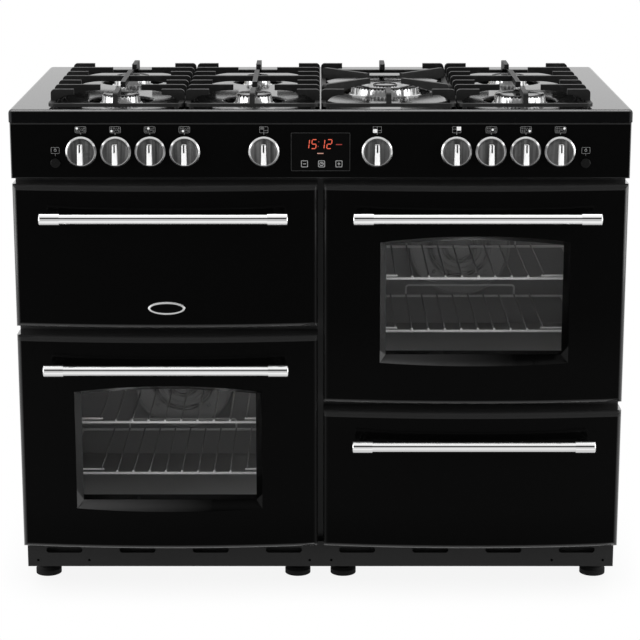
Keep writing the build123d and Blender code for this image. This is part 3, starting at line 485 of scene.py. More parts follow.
def tube(path, radius, flat, looped=False, sides=10):
    # a round bar carried along a path in one plane, whose normal is flat: each ring stands square to the
    # run, and an open bar ends in small domes
    path, flat = np.array(path, dtype=float), np.array(flat, dtype=float)
    spread = np.full(len(path), radius)
    if looped:
        path, spread = np.vstack([path, path[:1]]), np.append(spread, radius)
        run = np.gradient(np.vstack([path[-2], path, path[1]]), axis=0)[1:-1]
    else:
        ends = np.array([path[0] - path[1], path[-1] - path[-2]])
        ends *= radius / np.linalg.norm(ends, axis=1)[:, None]
        tips, shoulders = barEnd["tip"] * ends, barEnd["shoulder"] * ends
        path = np.vstack([path[0] + tips[0], path[0] + shoulders[0], path, path[-1] + shoulders[1],
                          path[-1] + tips[1]])
        narrow = barEnd["narrow"] * radius
        spread = np.concatenate([[0.0, narrow], spread, [narrow, 0.0]])
        run = np.gradient(path, axis=0)
    side = np.cross(run, flat)
    side /= np.linalg.norm(side, axis=1)[:, None]
    angle = np.linspace(0.0, 2 * np.pi, sides + 1)[None, :, None]
    around = np.cos(angle) * side[:, None, :] + np.sin(angle) * flat
    ring = path[:, None, :] + spread[:, None, None] * around
    return ring.reshape(-1, 3), gridFaces(len(path), sides + 1)


def depthAt(depth):
    return frontY + depth


def upright(flat, depth):
    # points of (x, z) stood up in the plane at one depth
    return np.stack([flat[:, 0], np.full(len(flat), depthAt(depth)), flat[:, 1]], axis=1)


def flatStrip(path, wide, depth, looped=False):
    # a line of one width drawn upright in x and z: each point is pushed half a width along its mitre
    path = np.array(path, dtype=float)
    if looped:
        path = np.vstack([path, path[:1]])
    run = np.diff(path, axis=0)
    run /= np.linalg.norm(run, axis=1)[:, None]
    before = np.vstack([run[-1:] if looped else run[:1], run])
    after = np.vstack([run, run[:1] if looped else run[-1:]])
    aside = np.stack([-(before + after)[:, 1], (before + after)[:, 0]], axis=1)
    aside /= np.linalg.norm(aside, axis=1)[:, None]
    turn = np.sum(aside * np.stack([-after[:, 1], after[:, 0]], axis=1), axis=1)
    push = aside * (wide / 2 / np.maximum(turn, meshing["mitre"]))[:, None]
    both = np.stack([path + push, path - push], axis=1).reshape(-1, 2)
    return upright(both, depth), gridFaces(len(path), 2)


def flatDisc(x, z, radius, depth, sides=28, inner=0.0):
    # a filled or open circle: rings of points between two radii
    angle = np.linspace(0.0, 2 * np.pi, sides + 1)
    ring = np.stack([np.cos(angle), np.sin(angle)], axis=1)
    both = np.stack([ring * radius, ring * inner]) + np.array([x, z])
    return upright(both.reshape(-1, 2), depth), gridFaces(2, sides + 1)


def roundedBox(x, z, halfX, halfZ, corner, steps=5):
    # outline of a box with rounded corners, anticlockwise
    path = []
    for sideX, sideZ, start in [(1, 1, 0), (-1, 1, 90), (-1, -1, 180), (1, -1, 270)]:
        middle = (x + sideX * (halfX - corner), z + sideZ * (halfZ - corner))
        path += bend(middle, corner, start, start + 90, steps)
    return path


def flatBox(x, z, halfX, halfZ, depth):
    # one upright quad round its middle
    corners = [(x - halfX, z - halfZ), (x + halfX, z - halfZ), (x + halfX, z + halfZ), (x - halfX, z + halfZ)]
    return upright(np.array(corners), depth), np.array([(0, 1, 2, 3)])


# knobs: a turned graphite disc on its stem, and a bright forked grip across it

knob = {
    "radius": 23.0, "edge": 1.5, "face": -9.5, "back": 1.5, "stem": 4.0, "z": 825.0, "dish": 0.5,
    "dishIn": 3.0, "dishOut": 2.0, "gripHalf": 17.6, "gripDrop": -2.5, "gripWide": 4.1, "gripTaper": 0.1,
    "gripOut": 15.0, "gripRound": 0.8, "gripRoot": -1.0, "slotHalf": 1.55, "slotLong": 13.5, "slotDeep": 9.0,
    "slotStep": 0.01, "slotShadeWide": 1.9, "slotShadeEnds": (0.1, 0.3), "slotShadeProud": 0.1,
}
knobXs = {
    "rear_left": -423.0, "front_left": -362.0, "centre_rear": -301.0, "centre_front": -240.0,
    "grill": -100.0, "left_oven": 100.0, "right_oven": 240.0, "wok": 301.0, "front_right": 362.0,
    "rear_right": 423.0,
}
graphiteLook = {
    "streakAlong": (150.0, 10.0, 4.0), "streak": (3.0, 0.6), "hairAlong": (1900.0, 30.0, 14.0),
    "hair": (2.0, 0.6), "hairShare": 0.35, "edge": (0.36, 0.68), "deep": grey(0.04), "pale": grey(0.16),
    "metal": 0.9, "rough": 0.3, "hairGloss": 0.16, "bump": (0.00002, 0.4),
}
gripLook = {
    "hairAlong": (1500.0, 60.0, 12.0), "hair": (2.0, 0.6), "deep": grey(0.88), "pale": grey(0.96),
    "metal": 0.15, "rough": 0.34, "hairGloss": 0.12, "bump": (0.00002, 0.3),
}


def knobFaceFinish():
    # graphite anodising with upright brushing, darker in the broad streaks
    f, look = Finish("knobGraphite"), graphiteLook
    streak = f.streaks(look["streakAlong"], *look["streak"])
    hair = f.streaks(look["hairAlong"], *look["hair"])
    tone = f.ramp(streak + (hair - 0.5) * look["hairShare"], *look["edge"])
    return f.surface({
        "Base Color": f.blend(tone, look["deep"], look["pale"]),
        "Metallic": look["metal"],
        "Roughness": look["rough"] + hair * look["hairGloss"],
        "Normal": f.bump(hair, *look["bump"])})


def gripFinish():
    # diamond-cut aluminium, hairlines along the grip
    f, look = Finish("gripAluminium"), gripLook
    hair = f.streaks(look["hairAlong"], *look["hair"])
    return f.surface({
        "Base Color": f.blend(hair, look["deep"], look["pale"]),
        "Metallic": look["metal"],
        "Roughness": look["rough"] + hair * look["hairGloss"],
        "Normal": f.bump(hair, *look["bump"])})


def knobDisc(x, stemEnd):
    # radius against depth: dished face, rolled edge, straight side, back, stem
    k = knob
    face, rim = depthAt(k["face"]), k["radius"] - k["edge"]
    dished, back = face + k["dish"], depthAt(k["back"])
    profile = [(0.0, dished), (rim - k["dishIn"], dished), (rim - k["dishOut"], face), (rim, face)]
    profile += bend((rim, face + k["edge"]), k["edge"], -90, 0, 5)[1:]
    profile += [(k["radius"], back), (k["stem"], back), (k["stem"], stemEnd), (0.0, stemEnd)]
    return turned(profile, (x, 0.0, k["z"]), "y", 72)


def knobGrip(x):
    # a height over a lattice of x and z: the lower of a rounded bar across and along, less the forked slot
    k = knob
    top = k["gripOut"]

    def ramped(half):  # (place, height) of one half, from its foot over its rounded shoulder
        shoulder = [(c - half + k["gripRound"], s + top - k["gripRound"])
                    for c, s in bend((0.0, 0.0), k["gripRound"], 180, 90, 5)]
        return [(-half, k["gripRoot"])] + shoulder

    side = ramped(k["gripWide"])
    across = side + [(-k["slotHalf"], top), (-k["slotHalf"], top - k["slotDeep"])]
    across += [(-place, height) for place, height in across[::-1]]
    inSlot = np.array([abs(place) <= k["slotHalf"] and height < top for place, height in across])
    end = ramped(k["gripHalf"])
    step = k["gripHalf"] - k["slotLong"]
    along = end + [(step, top), (step + k["slotStep"], top)]
    along += [(-place, height) for place, height in end[::-1]]
    slotRow = np.array([place > step for place, _ in along])
    xs, hx = np.array(across).T
    zs, hz = np.array(along).T
    plain = np.where(inSlot, top, hx)
    height = np.minimum(plain[None, :], hz[:, None])
    slotted = slotRow[:, None] & inSlot[None, :]
    height = np.where(slotted, np.minimum(height, top - k["slotDeep"]), height)
    taper = xs[None, :] * (1.0 - k["gripTaper"] * zs[:, None] / k["gripHalf"])
    over = np.broadcast_to(zs[:, None] + k["z"] + k["gripDrop"], height.shape)

    def laid(rise):
        return np.stack([taper + x, depthAt(k["face"]) + k["dish"] - rise, over], axis=-1).reshape(-1, 3)

    faces = gridFaces(len(zs), len(xs))
    root = np.full_like(height, k["gripRoot"])
    return gather([(laid(height), faces), (laid(root), faces[:, ::-1])])


def knobSlotShade(x):
    # dark strip on the floor of the grip's slot, painted shade for the groove
    k = knob
    tip = k["z"] + k["gripDrop"] + k["gripHalf"]
    low, high = k["slotShadeEnds"]
    depth = k["face"] + k["dish"] - k["gripOut"] + k["slotDeep"] - k["slotShadeProud"]
    ends = [(x, tip - k["slotLong"] + low), (x, tip - high)]
    return flatStrip(ends, k["slotShadeWide"] * k["slotHalf"], depth)


graphite, bright = knobFaceFinish(), gripFinish()
# dark finish for the slot's painted shade
slotShadeDark = mouldedPlastic("slotShadeDark", grey(0.012), grey(0.02), 0.5)
for name, x in knobXs.items():
    body = "knob_" + name
    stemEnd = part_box(body)[1].y / mm
    putPiece(body + "_disc", knobDisc(x, stemEnd), graphite, body, [body])
    putPiece(body + "_grip", knobGrip(x), bright, body)
    putPiece(body + "_slot_shade", knobSlotShade(x), slotShadeDark, body, closed=False)
print("knobs:", len(knobXs))

# burners: flared base, toothed crown and rolled cap, each turned about its upright axis

burner = {
    "floor": 890.0, "baseTop": 896.0, "baseOut": 8.0, "wokBase": 70.0, "cup": 18.0, "cupLow": 845.0,
    "flare": 6.0, "flareDrop": 5.0, "flareCurve": 2.2, "crownTop": 910.0, "crownOut": 0.3, "lean": 0.9,
    "neck": (0.2, 0.4), "foot": (1.8, 1.5), "teeth": 30, "fewestTeeth": 12, "teethRadius": 34.0,
    "toothDeep": 1.2, "toothHigh": 1.7, "capLow": 908.5, "capTop": 912.0, "capIn": 1.0, "capRoll": 2.2,
    "capDome": 0.5,
}
burnerSpots = [  # x, depth, cap's radius
    (-361.5, 124.17, 34.0), (-361.5, 368.83, 34.0), (-120.5, 124.17, 32.5),
    (-120.5, 368.83, 23.0), (361.5, 124.17, 45.5), (361.5, 368.83, 34.0),
]
wokSpot = (120.5, 246.5)
wokRings = [(46.0, 63.0), (0.0, 24.0)]  # inner and outer radius


def burnerBase(x, depth, outer):
    # bell-shaped flange on the well floor, whose drop is a power of the way out, and the mixing cup under it
    b = burner
    start = outer - b["flare"]
    profile = [(0.0, b["baseTop"]), (start, b["baseTop"])]
    profile += [(start + b["flare"] * s, b["baseTop"] - b["flareDrop"] * s ** b["flareCurve"])
                for s in np.linspace(0.1, 1.0, 8)]
    profile += [(outer, b["floor"]), (b["cup"], b["floor"]), (b["cup"], b["cupLow"]), (0.0, b["cupLow"])]
    return turned(profile, (x, depthAt(depth), 0.0), "z", 72)


def burnerCrown(x, depth, outer, inner=0.0):
    # flame ring: a plain wall that leans in a little, and fine teeth round its top, cut where the sine of
    # the angle is positive
    b = burner
    low, high = b["baseTop"], b["crownTop"]
    tip, root = outer - b["lean"], high - b["toothHigh"]
    (neckOut, neckDrop), (footOut, footHigh) = b["neck"], b["foot"]
    profile = [(inner, high), (tip, high), (tip, root), (tip + neckOut, root - neckDrop),
               (outer + b["lean"], low + footHigh), (outer + footOut, low), (inner, low), (inner, high)]
    teeth = max(b["fewestTeeth"], int(b["teeth"] * outer / b["teethRadius"]))

    def cut(radius, rise, angle):
        rim = (rise > root - neckDrop / 2) & (radius > tip - b["lean"] / 2)
        return radius - np.where(rim & (np.sin(angle * teeth) > 0), b["toothDeep"], 0.0)

    return turned(profile, (x, depthAt(depth), 0.0), "z", teeth * 8, cut)


def burnerCap(x, depth, outer, inner=0.0):
    # a plate with a rolled rim and a slightly domed top
    b = burner
    low, high, roll = b["capLow"], b["capTop"], b["capRoll"]
    profile = [(inner, low), (outer, low)]
    profile += bend((outer - roll, low + roll), roll, 0, 80, 6)
    profile += [(inner + (outer - inner) * s, high - b["capDome"] * (1 - np.cos(np.pi * s)) / 2)
                for s in np.linspace(0.9, 0.0, 8)]
    profile += [(inner, low)]
    return turned(profile, (x, depthAt(depth), 0.0), "z", 96)


bases = [burnerBase(x, depth, cap + burner["baseOut"]) for x, depth, cap in burnerSpots]
bases.append(burnerBase(*wokSpot, burner["wokBase"]))
crowns = [burnerCrown(x, depth, cap + burner["crownOut"]) for x, depth, cap in burnerSpots]
crowns += [burnerCrown(*wokSpot, outer + burner["crownOut"], inner) for inner, outer in wokRings]
caps = [burnerCap(x, depth, cap - burner["capIn"]) for x, depth, cap in burnerSpots]
caps += [burnerCap(*wokSpot, outer - burner["capIn"], inner and inner + burner["capIn"])
         for inner, outer in wokRings]
alloy, capEnamel = slotFinishes["burner_alloy"], slotFinishes["cap_enamel"]
putPiece("burner_flanges", gather(bases), alloy, "cabinet", ["burner_bases"])
putPiece("burner_teeth", gather(crowns), alloy, "cabinet", ["burner_crowns"])
putPiece("burner_plates", gather(caps), capEnamel, "cabinet", ["burner_caps"])
print("burners:", len(burnerSpots) + 1)

# ovens: wire shelves, and the raised rings and screws of the fan plates

oven = {
    "xs": (-276.0, 276.0), "bottoms": (89.0, 365.0), "rises": (106.0, 206.0), "half": 205.0, "front": -161.8,
    "back": 118.3, "corner": 13.0, "rail": 2.5, "wire": 1.6, "lift": 3.3, "over": 2.6, "pitch": 30.545,
    "wires": 10, "nub": 2.2, "nubLong": 5.0, "nubLift": 0.6, "cornerSet": 24.0, "cornerBar": 2.0,
    "cornerIn": 3.2, "hoopHigh": 22.0, "hoopReach": 106.9, "hoopBend": 6.0, "hoopWire": 2.0, "hoopFoot": 1.0,
    "plate": 143.2, "plateRise": 201.0, "ringSides": 72, "rings": [(97.0, 3.0), (44.0, 1.8)],
    "guardRings": (24.8, 30.0, 35.2, 52.8, 58.0, 63.2), "guardWire": 1.4,
    "screwOut": 72.0, "screw": 4.0, "screwHigh": 2.6, "screwSunk": 0.5, "screwTurns": (45, 135, 225, 315),
}


def wireShelf(x, z):
    # bars: a rounded frame, two short corner bars, the hoop that stops a dish at the back and the wires'
    # swaged front ends; wires: the thin ones laid over the frame, in a darker copy of the chrome as
    # painted shade
    o, up = oven, (0, 0, 1)
    middle, deep = (o["front"] + o["back"]) / 2, (o["back"] - o["front"]) / 2
    frameLoop = [(a, b, z) for a, b in roundedBox(x, middle, o["half"], deep, o["corner"])]
    bars, wires = [tube(frameLoop, o["rail"], up, True)], []
    outer = o["pitch"] * (o["wires"] - 1) / 2
    for index, along in enumerate(np.linspace(x - outer, x + outer, o["wires"])):
        short = index in (0, o["wires"] - 1)
        start = o["front"] + (o["cornerSet"] if short else 0.0) - o["over"]
        lift = z + o["lift"]
        wires.append(tube([(along, start, lift), (along, o["back"] + o["over"], lift)], o["wire"], up))
        if not short:
            lift += o["nubLift"]
            bars.append(tube([(along, start, lift), (along, start + o["nubLong"], lift)], o["nub"], up))
    for way in (-1, 1):
        y, inner = o["front"] + o["cornerSet"], outer - o["cornerIn"]
        bars.append(tube([(x + way * inner, y, z), (x + way * o["half"], y, z)], o["cornerBar"], up))
    reach, top, foot = o["hoopReach"], z + o["hoopHigh"] - o["hoopBend"], z + o["hoopFoot"]
    hoop = [(x - reach, foot)] + bend((x - reach + o["hoopBend"], top), o["hoopBend"], 180, 90)
    hoop += bend((x + reach - o["hoopBend"], top), o["hoopBend"], 90, 0) + [(x + reach, foot)]
    bars.append(tube([(a, o["back"], b) for a, b in hoop], o["hoopWire"], (0, 1, 0)))
    return bars, wires


def plateTrim(x, z):
    # rolled rim, inner ring and guard wires over the ports as round loops, and four domed screws
    o, trim = oven, []
    angle = np.linspace(0.0, 2 * np.pi, o["ringSides"] + 1)[:-1]
    level = np.full(o["ringSides"], o["plate"])
    for radius, thick in o["rings"] + [(radius, o["guardWire"]) for radius in o["guardRings"]]:
        loop = np.stack([x + radius * np.cos(angle), level, z + radius * np.sin(angle)], axis=1)
        trim.append(tube(loop, thick, (0, 1, 0), True))
    sunk = o["plate"] + o["screwSunk"]
    profile = [(0.0, sunk), (o["screw"], sunk)]
    profile += [(o["screw"] * np.cos(s), o["plate"] - o["screwHigh"] * np.sin(s))
                for s in np.linspace(0.0, np.pi / 2, 7)]
    for turn in np.radians(o["screwTurns"]):
        spot = (x + o["screwOut"] * np.cos(turn), 0.0, z + o["screwOut"] * np.sin(turn))
        trim.append(turned(profile, spot, "y", 20))
    return trim


rods, wires, trims = [], [], []
for x, bottom in zip(oven["xs"], oven["bottoms"]):
    for rise in oven["rises"]:
        shelfBars, shelfWires = wireShelf(x, bottom + rise)
        rods += shelfBars
        wires += shelfWires
    trims += plateTrim(x, bottom + oven["plateRise"])
chrome = slotFinishes["shelf_chrome"]
putPiece("shelf_rods", gather(rods), chrome, "cabinet", ["oven_shelves"])
# a darker copy of the shelf chrome for the thin wires: painted shade
shadedWires = drawnMetal(
    "shadedWireChrome", grey(0.44), grey(0.36), 0.28, (60.0, 400.0, 60.0), height=0.000008, metal=0.5)
putPiece("shelf_wires", gather(wires), shadedWires, "cabinet")
putPiece("plate_trim", gather(trims), slotFinishes["baffle_enamel"], "cabinet")
print("oven wires:", len(rods) + len(wires))

# printed marks on the fascia, and the clock's lit and printed signs

marks = {
    "fascia": 2.35, "pane": 0.85, "proud": 0.05, "line": 0.5, "iconZ": 864.2, "iconHalf": (9.6, 5.5),
    "iconCorner": 2.1, "dot": 1.4, "wokDot": 2.2, "dotLine": 0.45, "dotFilled": 2.1, "tick": (0.4, 1.6),
    "hobTick": 1.9, "ovenTick": 1.8, "ovenHalf": (7.4, 5.4), "ovenCorner": 0.6, "ovenSplit": (1.0, -1.3),
    "coil": 7, "coilEnds": (1.4, 1.0), "coilHigh": (1.0, 1.2), "lampHalf": (7.2, 5.4), "lampCorner": 1.2,
    "bulb": (2.3, 1.6), "bulbCap": (2.9, 0.9, 0.6), "stem": 2.0, "lampXs": (-468.5, 468.5), "lampZ": 827.3,
}
burnerDots = {
    "rear_left": (-6.4, 2.3), "front_left": (-6.4, -2.3), "centre_rear": (-2.3, 2.3),
    "centre_front": (-2.3, -2.3), "wok": (2.4, 0.0), "rear_right": (6.6, 2.3), "front_right": (6.6, -2.3),
}
printLook = {"ink": (1300.0, 2.0, 0.5), "thin": 0.85, "rough": 0.5, "inkGloss": 0.15}


def printFinish(name, tone):
    # screen print: slightly uneven ink
    f = Finish(name)
    ink = f.noise(*printLook["ink"])
    return f.surface({
        "Base Color": f.blend(ink, grey(tone * printLook["thin"]), grey(tone)),
        "Roughness": printLook["rough"] + ink * printLook["inkGloss"]})


def hobIcon(x, active):
    # a rounded outline with seven burner dots and a tick down to the knob, then the tap's own dot filled
    m = marks
    z, (wide, high) = m["iconZ"], m["iconHalf"]
    lines = [flatStrip(roundedBox(x, z, wide, high, m["iconCorner"]), m["line"], m["fascia"], True)]
    for name, (dx, dz) in burnerDots.items():
        size = m["wokDot"] if name == "wok" else m["dot"]
        lines.append(flatDisc(x + dx, z + dz, size, m["fascia"], inner=size - m["dotLine"]))
    lines.append(flatBox(x, z - high - m["hobTick"], *m["tick"], m["fascia"]))
    dx, dz = burnerDots[active]
    return lines, [flatDisc(x + dx, z + dz, m["dotFilled"], m["fascia"] - m["proud"])]


def ovenIcon(x, active):
    # the cooker's four fronts drawn small, then the knob's own one filled
    m = marks
    z, (wide, high) = m["iconZ"], m["ovenHalf"]
    left, right = m["ovenSplit"]
    thin, halfWide, proud = m["line"] / 2, wide / 2, m["fascia"] - m["proud"]
    lines = [flatStrip(roundedBox(x, z, wide, high, m["ovenCorner"], 2), m["line"], m["fascia"], True),
             flatBox(x, z, thin, high, m["fascia"]),
             flatBox(x - halfWide, z + left, halfWide, thin, m["fascia"]),
             flatBox(x + halfWide, z + right, halfWide, thin, m["fascia"]),
             flatBox(x, z - high - m["ovenTick"], *m["tick"], m["fascia"])]
    cells = {"grill": (-1, left, high), "left_oven": (-1, -high, left), "right_oven": (1, right, high)}
    side, low, top = cells[active]
    if active == "grill":  # drawn as a heating coil
        xs = np.linspace(x - wide + m["coilEnds"][0], x - m["coilEnds"][1], m["coil"])
        up = np.arange(m["coil"]) % 2
        turns = np.where(up, z + top - m["coilHigh"][1], z + low + m["coilHigh"][0])
        return lines + [flatStrip(np.stack([xs, turns], axis=1), m["line"], proud)], []
    return lines, [flatBox(x + side * halfWide, z + (low + top) / 2, halfWide, (top - low) / 2, proud)]


def lightIcon(x, z):
    # an oven outline with a lamp in it, and a stem down to the button
    m = marks
    (wide, high), (bulb, hollow) = m["lampHalf"], m["bulb"]
    capRise, capWide, capHigh = m["bulbCap"]
    return [flatStrip(roundedBox(x, z, wide, high, m["lampCorner"]), m["line"], m["fascia"], True),
            flatDisc(x, z, bulb, m["fascia"], inner=hollow),
            flatBox(x, z + capRise, capWide, capHigh, m["fascia"]),
            flatBox(x, z - high - m["stem"], m["line"] / 2, m["stem"], m["fascia"])]


clock = {
    "digitZ": 838.9, "digitHalf": (3.9, 8.0), "slant": 0.12, "stroke": 1.4, "strokeGap": 0.09,
    "digits": [(-24.0, "bc"), (-11.5, "afgcd"), (3.0, "bc"), (15.6, "abged")],
    "dot": 0.9, "dots": [(-3.1, 4.2), (-4.1, -4.2)], "dash": (32.5, 838.1, 5.4, 0.8),
    "pointer": (-0.4, 822.3, 5.6, 0.8), "keys": (-28.4, 1.8, 32.5), "keyZ": 803.6, "keyHalf": 5.5,
    "keyCorner": 1.0, "keyLine": 0.9, "sign": (2.6, 0.55), "dial": (3.6, 2.7),
    "hands": [(0.0, 2.2), (0.0, 0.0), (1.9, 1.2)], "handLine": 0.8,
    "outline": (0.0, 825.0, 51.8, 33.8, 1.0), "outlineLine": 0.7,
}


def digit(x, lit):
    # seven-segment figure: straight strokes between the corners of a slanted box
    c = clock
    wide, high = c["digitHalf"]
    spot = {"tl": (-wide, high), "tr": (wide, high), "ml": (-wide, 0.0), "mr": (wide, 0.0),
            "bl": (-wide, -high), "br": (wide, -high)}
    runs = {"a": ("tl", "tr"), "b": ("tr", "mr"), "c": ("mr", "br"), "d": ("bl", "br"), "e": ("ml", "bl"),
            "f": ("tl", "ml"), "g": ("ml", "mr")}
    shapes = []
    for name in lit:
        ends = np.array([spot[end] for end in runs[name]])
        ends = ends + (ends[::-1] - ends) * c["strokeGap"]
        ends[:, 0] += ends[:, 1] * c["slant"]
        shapes.append(flatStrip(ends + np.array([x, c["digitZ"]]), c["stroke"], marks["pane"]))
    return shapes


def clockKeys():
    # three rounded boxes with a minus, a small dial and a plus
    c, pane = clock, marks["pane"]
    (minus, dial, plus), z, half = c["keys"], c["keyZ"], c["keyHalf"]
    (long, thin), (outer, inner) = c["sign"], c["dial"]
    keys = [flatStrip(roundedBox(x, z, half, half, c["keyCorner"], 3), c["keyLine"], pane, True)
            for x in c["keys"]]
    keys.append(flatBox(minus, z, long, thin, pane))
    keys.append(flatDisc(dial, z, outer, pane, inner=inner))
    keys.append(flatStrip([(dial + dx, z + dz) for dx, dz in c["hands"]], c["handLine"], pane))
    keys.append(flatBox(plus, z, long, thin, pane))
    keys.append(flatBox(plus, z, thin, long, pane))
    return keys


outlines, fills = [], []
for name, x in knobXs.items():
    lines, filled = hobIcon(x, name) if name in burnerDots else ovenIcon(x, name)
    outlines += lines
    fills += filled
for x in marks["lampXs"]:
    outlines += lightIcon(x, marks["lampZ"])
putPiece("fascia_marks", gather(outlines), printFinish("printGrey", 0.24), "cabinet", closed=False)
putPiece("fascia_fills", gather(fills), printFinish("printWhite", 0.85), "cabinet", closed=False)

pane = marks["pane"]
putPiece("clock_keys", gather(clockKeys()), printFinish("printKey", 0.4), "cabinet", closed=False)
outline = flatStrip(roundedBox(*clock["outline"], 3), clock["outlineLine"], pane, True)
putPiece("clock_outline", outline, printFinish("printDim", 0.018), "cabinet", closed=False)

lit = [shape for x, on in clock["digits"] for shape in digit(x, on)]
dots = [flatDisc(x, clock["digitZ"] + rise, clock["dot"], pane) for x, rise in clock["dots"]]
dots.append(flatBox(*clock["dash"], pane))
segmentRed = glowFinish("segmentRed", (1.0, 0.14, 0.07, 1.0), 1.0)
putPiece("clock_digits", gather(lit), segmentRed, "cabinet", closed=False)
segmentDim = glowFinish("segmentDim", (0.32, 0.02, 0.012, 1.0), 1.0)
putPiece("clock_dots", gather(dots), segmentDim, "cabinet", closed=False)
segmentPale = glowFinish("segmentPale", (0.75, 0.38, 0.3, 1.0), 0.8)
putPiece("clock_pointer", flatBox(*clock["pointer"], pane), segmentPale, "cabinet", closed=False)
print("marks and clock done")

# bare oval plate on the grill door: bright rim round a black field

badge = {"x": -275.0, "z": 545.0, "half": (33.3, 11.9), "rim": 3.0, "out": 2.6, "depth": -15.5,
         "rimRoll": 1.6, "fieldRoll": 0.8, "fieldOut": 0.25, "rollShare": 0.6, "rollStart": 0.2}


def ovalPlate(inset, out, roll):
    # a disc with a quarter-round edge, its radius scaled to an ellipse
    b = badge
    wide, tall = b["half"][0] - inset, b["half"][1] - inset
    low, high = depthAt(b["depth"]), depthAt(b["depth"] - out)
    edge, drop = roll / tall, (low - high) * b["rollShare"]
    profile = [(0.0, high), (1.0 - edge, high)]
    profile += [(1.0 - edge * (1.0 - np.sin(s)), high + drop * (1.0 - np.cos(s)))
                for s in np.linspace(b["rollStart"], np.pi / 2, 6)]
    profile += [(1.0, low), (0.0, low)]
    points, faces = turned(profile, (0.0, 0.0, 0.0), "y", 96)
    return points * np.array([wide, 1.0, tall]) + np.array([b["x"], 0.0, b["z"]]), faces


rim = ovalPlate(0.0, badge["out"], badge["rimRoll"])
field = ovalPlate(badge["rim"], badge["out"] + badge["fieldOut"], badge["fieldRoll"])
badgeSatin = drawnMetal("badgeSatin", grey(0.74), grey(0.6), 0.36, (300.0, 300.0, 300.0))
putPiece("badge_rim", rim, badgeSatin, "grill_door")
putPiece("badge_field", field, slotFinishes["door_enamel"], "grill_door")
print("bare badge done")

# studio: camera, soft boxes, pale floor, white surround; the camera's place is in mm, its focal length in
# pixels and its tilt in radians, the rest in metres

studio = {
    "camera": (-0.95, -3971.75, 1445.36), "tilt": 0.23014, "focal": 2121.7, "pixels": 640.0, "sensor": 36.0,
    "shift": -0.05, "clipEnd": 200.0, "white": grey(1.0), "dim": grey(0.58),
}
lamps = [  # name, place, target, size, watts
    ("boxLeft", (-2.6, -1.2, 1.1), (0.0, 0.0, 0.9), (2.6, 2.1), 52.0),
    ("boxRight", (2.6, -1.2, 1.1), (0.0, 0.0, 0.9), (2.6, 2.1), 52.0),
    ("boxTop", (0.0, 0.6, 3.2), (0.0, 0.0, 0.6), (3.0, 1.6), 28.0),
]
floorLook = {
    "half": 60.0, "deep": grey(0.82), "pale": grey(0.86), "grain": (30.0, 3.0, 0.5), "shadeReach": 0.12,
    "shadeSamples": 8, "shadeEdge": (0.2, 0.9), "shadeGrey": grey(0.9), "far": (-2.3, -1.8),
    "farGrey": grey(0.95), "near": (-0.75, -0.58), "nearShadowGrey": grey(0.68),
}
skyLook = {
    "pale": grey(0.62), "front": (-0.1, -0.3), "band": (0.23, 0.27), "bandGrey": grey(0.03),
    "top": (0.64, 0.68),
}
cameraData = bpy.data.cameras.new("camera")
cameraData.sensor_width = studio["sensor"]
cameraData.lens = studio["focal"] * studio["sensor"] / studio["pixels"]
cameraData.shift_y = studio["shift"]
cameraData.clip_end = studio["clipEnd"]
camera = bpy.data.objects.new("camera", cameraData)
camera.location = [value * mm for value in studio["camera"]]
camera.rotation_euler = (math.pi / 2 - studio["tilt"], 0.0, 0.0)
bpy.context.scene.collection.objects.link(camera)
bpy.context.scene.camera = camera


def softBox(name, place, target, size, watts):
    # a rectangular lamp that looks from place to target
    data = bpy.data.lights.new(name, "AREA")
    data.shape = "RECTANGLE"
    data.size, data.size_y = size
    data.energy = watts
    lamp = bpy.data.objects.new(name, data)
    lamp.location = place
    away = Vector(target) - Vector(place)
    lamp.rotation_euler = away.to_track_quat("-Z", "Y").to_euler()
    bpy.context.scene.collection.objects.link(lamp)


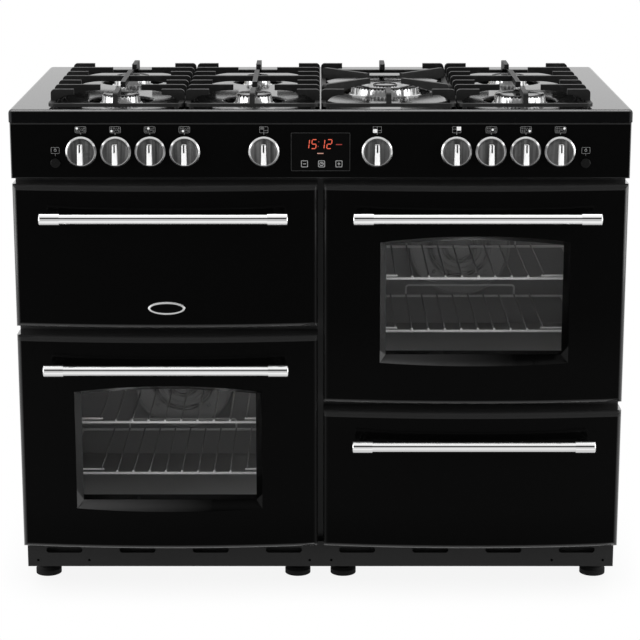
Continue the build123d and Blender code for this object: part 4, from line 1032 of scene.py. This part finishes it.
def floorFinish():
    # white to the camera with a soft contact shade; gloss sees it dim far ahead, then pale, and grey close
    # by as the cooker's painted shadow; light bounces off a matt floor
    f, look = Finish("floorPale"), floorLook
    eye = f.add("ShaderNodeLightPath", out="Is Camera Ray")
    gloss = f.add("ShaderNodeLightPath", out="Is Glossy Ray")
    through = f.add("ShaderNodeLightPath", out="Is Transmission Ray")
    shade = f.add("ShaderNodeAmbientOcclusion", {"samples": look["shadeSamples"]},
                  {"Distance": look["shadeReach"]}, out="AO")
    clear = f.blend(f.ramp(shade, *look["shadeEdge"]), look["shadeGrey"], studio["white"])
    y = f.axes()[1]
    far = f.blend(f.ramp(y, *look["far"]), studio["dim"], look["farGrey"])
    # painted shadow of the cooker on the floor that gloss sees
    near = f.blend(f.ramp(y, *look["near"]), far, look["nearShadowGrey"])
    seen = f.add("ShaderNodeEmission", None, {"Color": f.blend(gloss, clear, near), "Strength": 1.0})
    grain = f.noise(*look["grain"])
    matt = f.add("ShaderNodeBsdfDiffuse", None, {"Color": f.blend(grain, look["deep"], look["pale"])})
    return f.close(f.add("ShaderNodeMixShader", None, {0: eye + gloss + through, 1: matt, 2: seen}))


def paintSky(world):
    # white to the camera; gloss sees it white behind, and in front a dim wall, a dark band and white on top;
    # it lights the rest pale
    f, look = Finish("surround", world), skyLook
    _, y, z = f.axes()
    wall = f.blend(f.ramp(z, *look["band"]), studio["dim"], look["bandGrey"])
    front = f.blend(f.ramp(z, *look["top"]), wall, studio["white"])
    gloss = f.add("ShaderNodeLightPath", out="Is Glossy Ray")
    eye = f.add("ShaderNodeLightPath", out="Is Camera Ray")
    glossy = f.blend(f.ramp(y, *look["front"]), studio["white"], front)
    colour = f.blend(eye, f.blend(gloss, look["pale"], glossy), studio["white"])
    shader = f.add("ShaderNodeBackground", None, {"Color": colour, "Strength": 1.0})
    f.add("ShaderNodeOutputWorld", None, {"Surface": shader}, out=None)


for lamp in lamps:
    softBox(*lamp)

half = floorLook["half"]
floorMesh = bpy.data.meshes.new("floor")
floorMesh.from_pydata([(-half, -half, 0), (half, -half, 0), (half, half, 0), (-half, half, 0)], [],
                      [(0, 1, 2, 3)])
floorMesh.materials.append(floorFinish())
floor = bpy.data.objects.new("floor", floorMesh)
bpy.context.scene.collection.objects.link(floor)

world = bpy.data.worlds.new("surround")
bpy.context.scene.world = world
paintSky(world)
bpy.context.scene.view_settings.view_transform = "Standard"
print("studio ready")
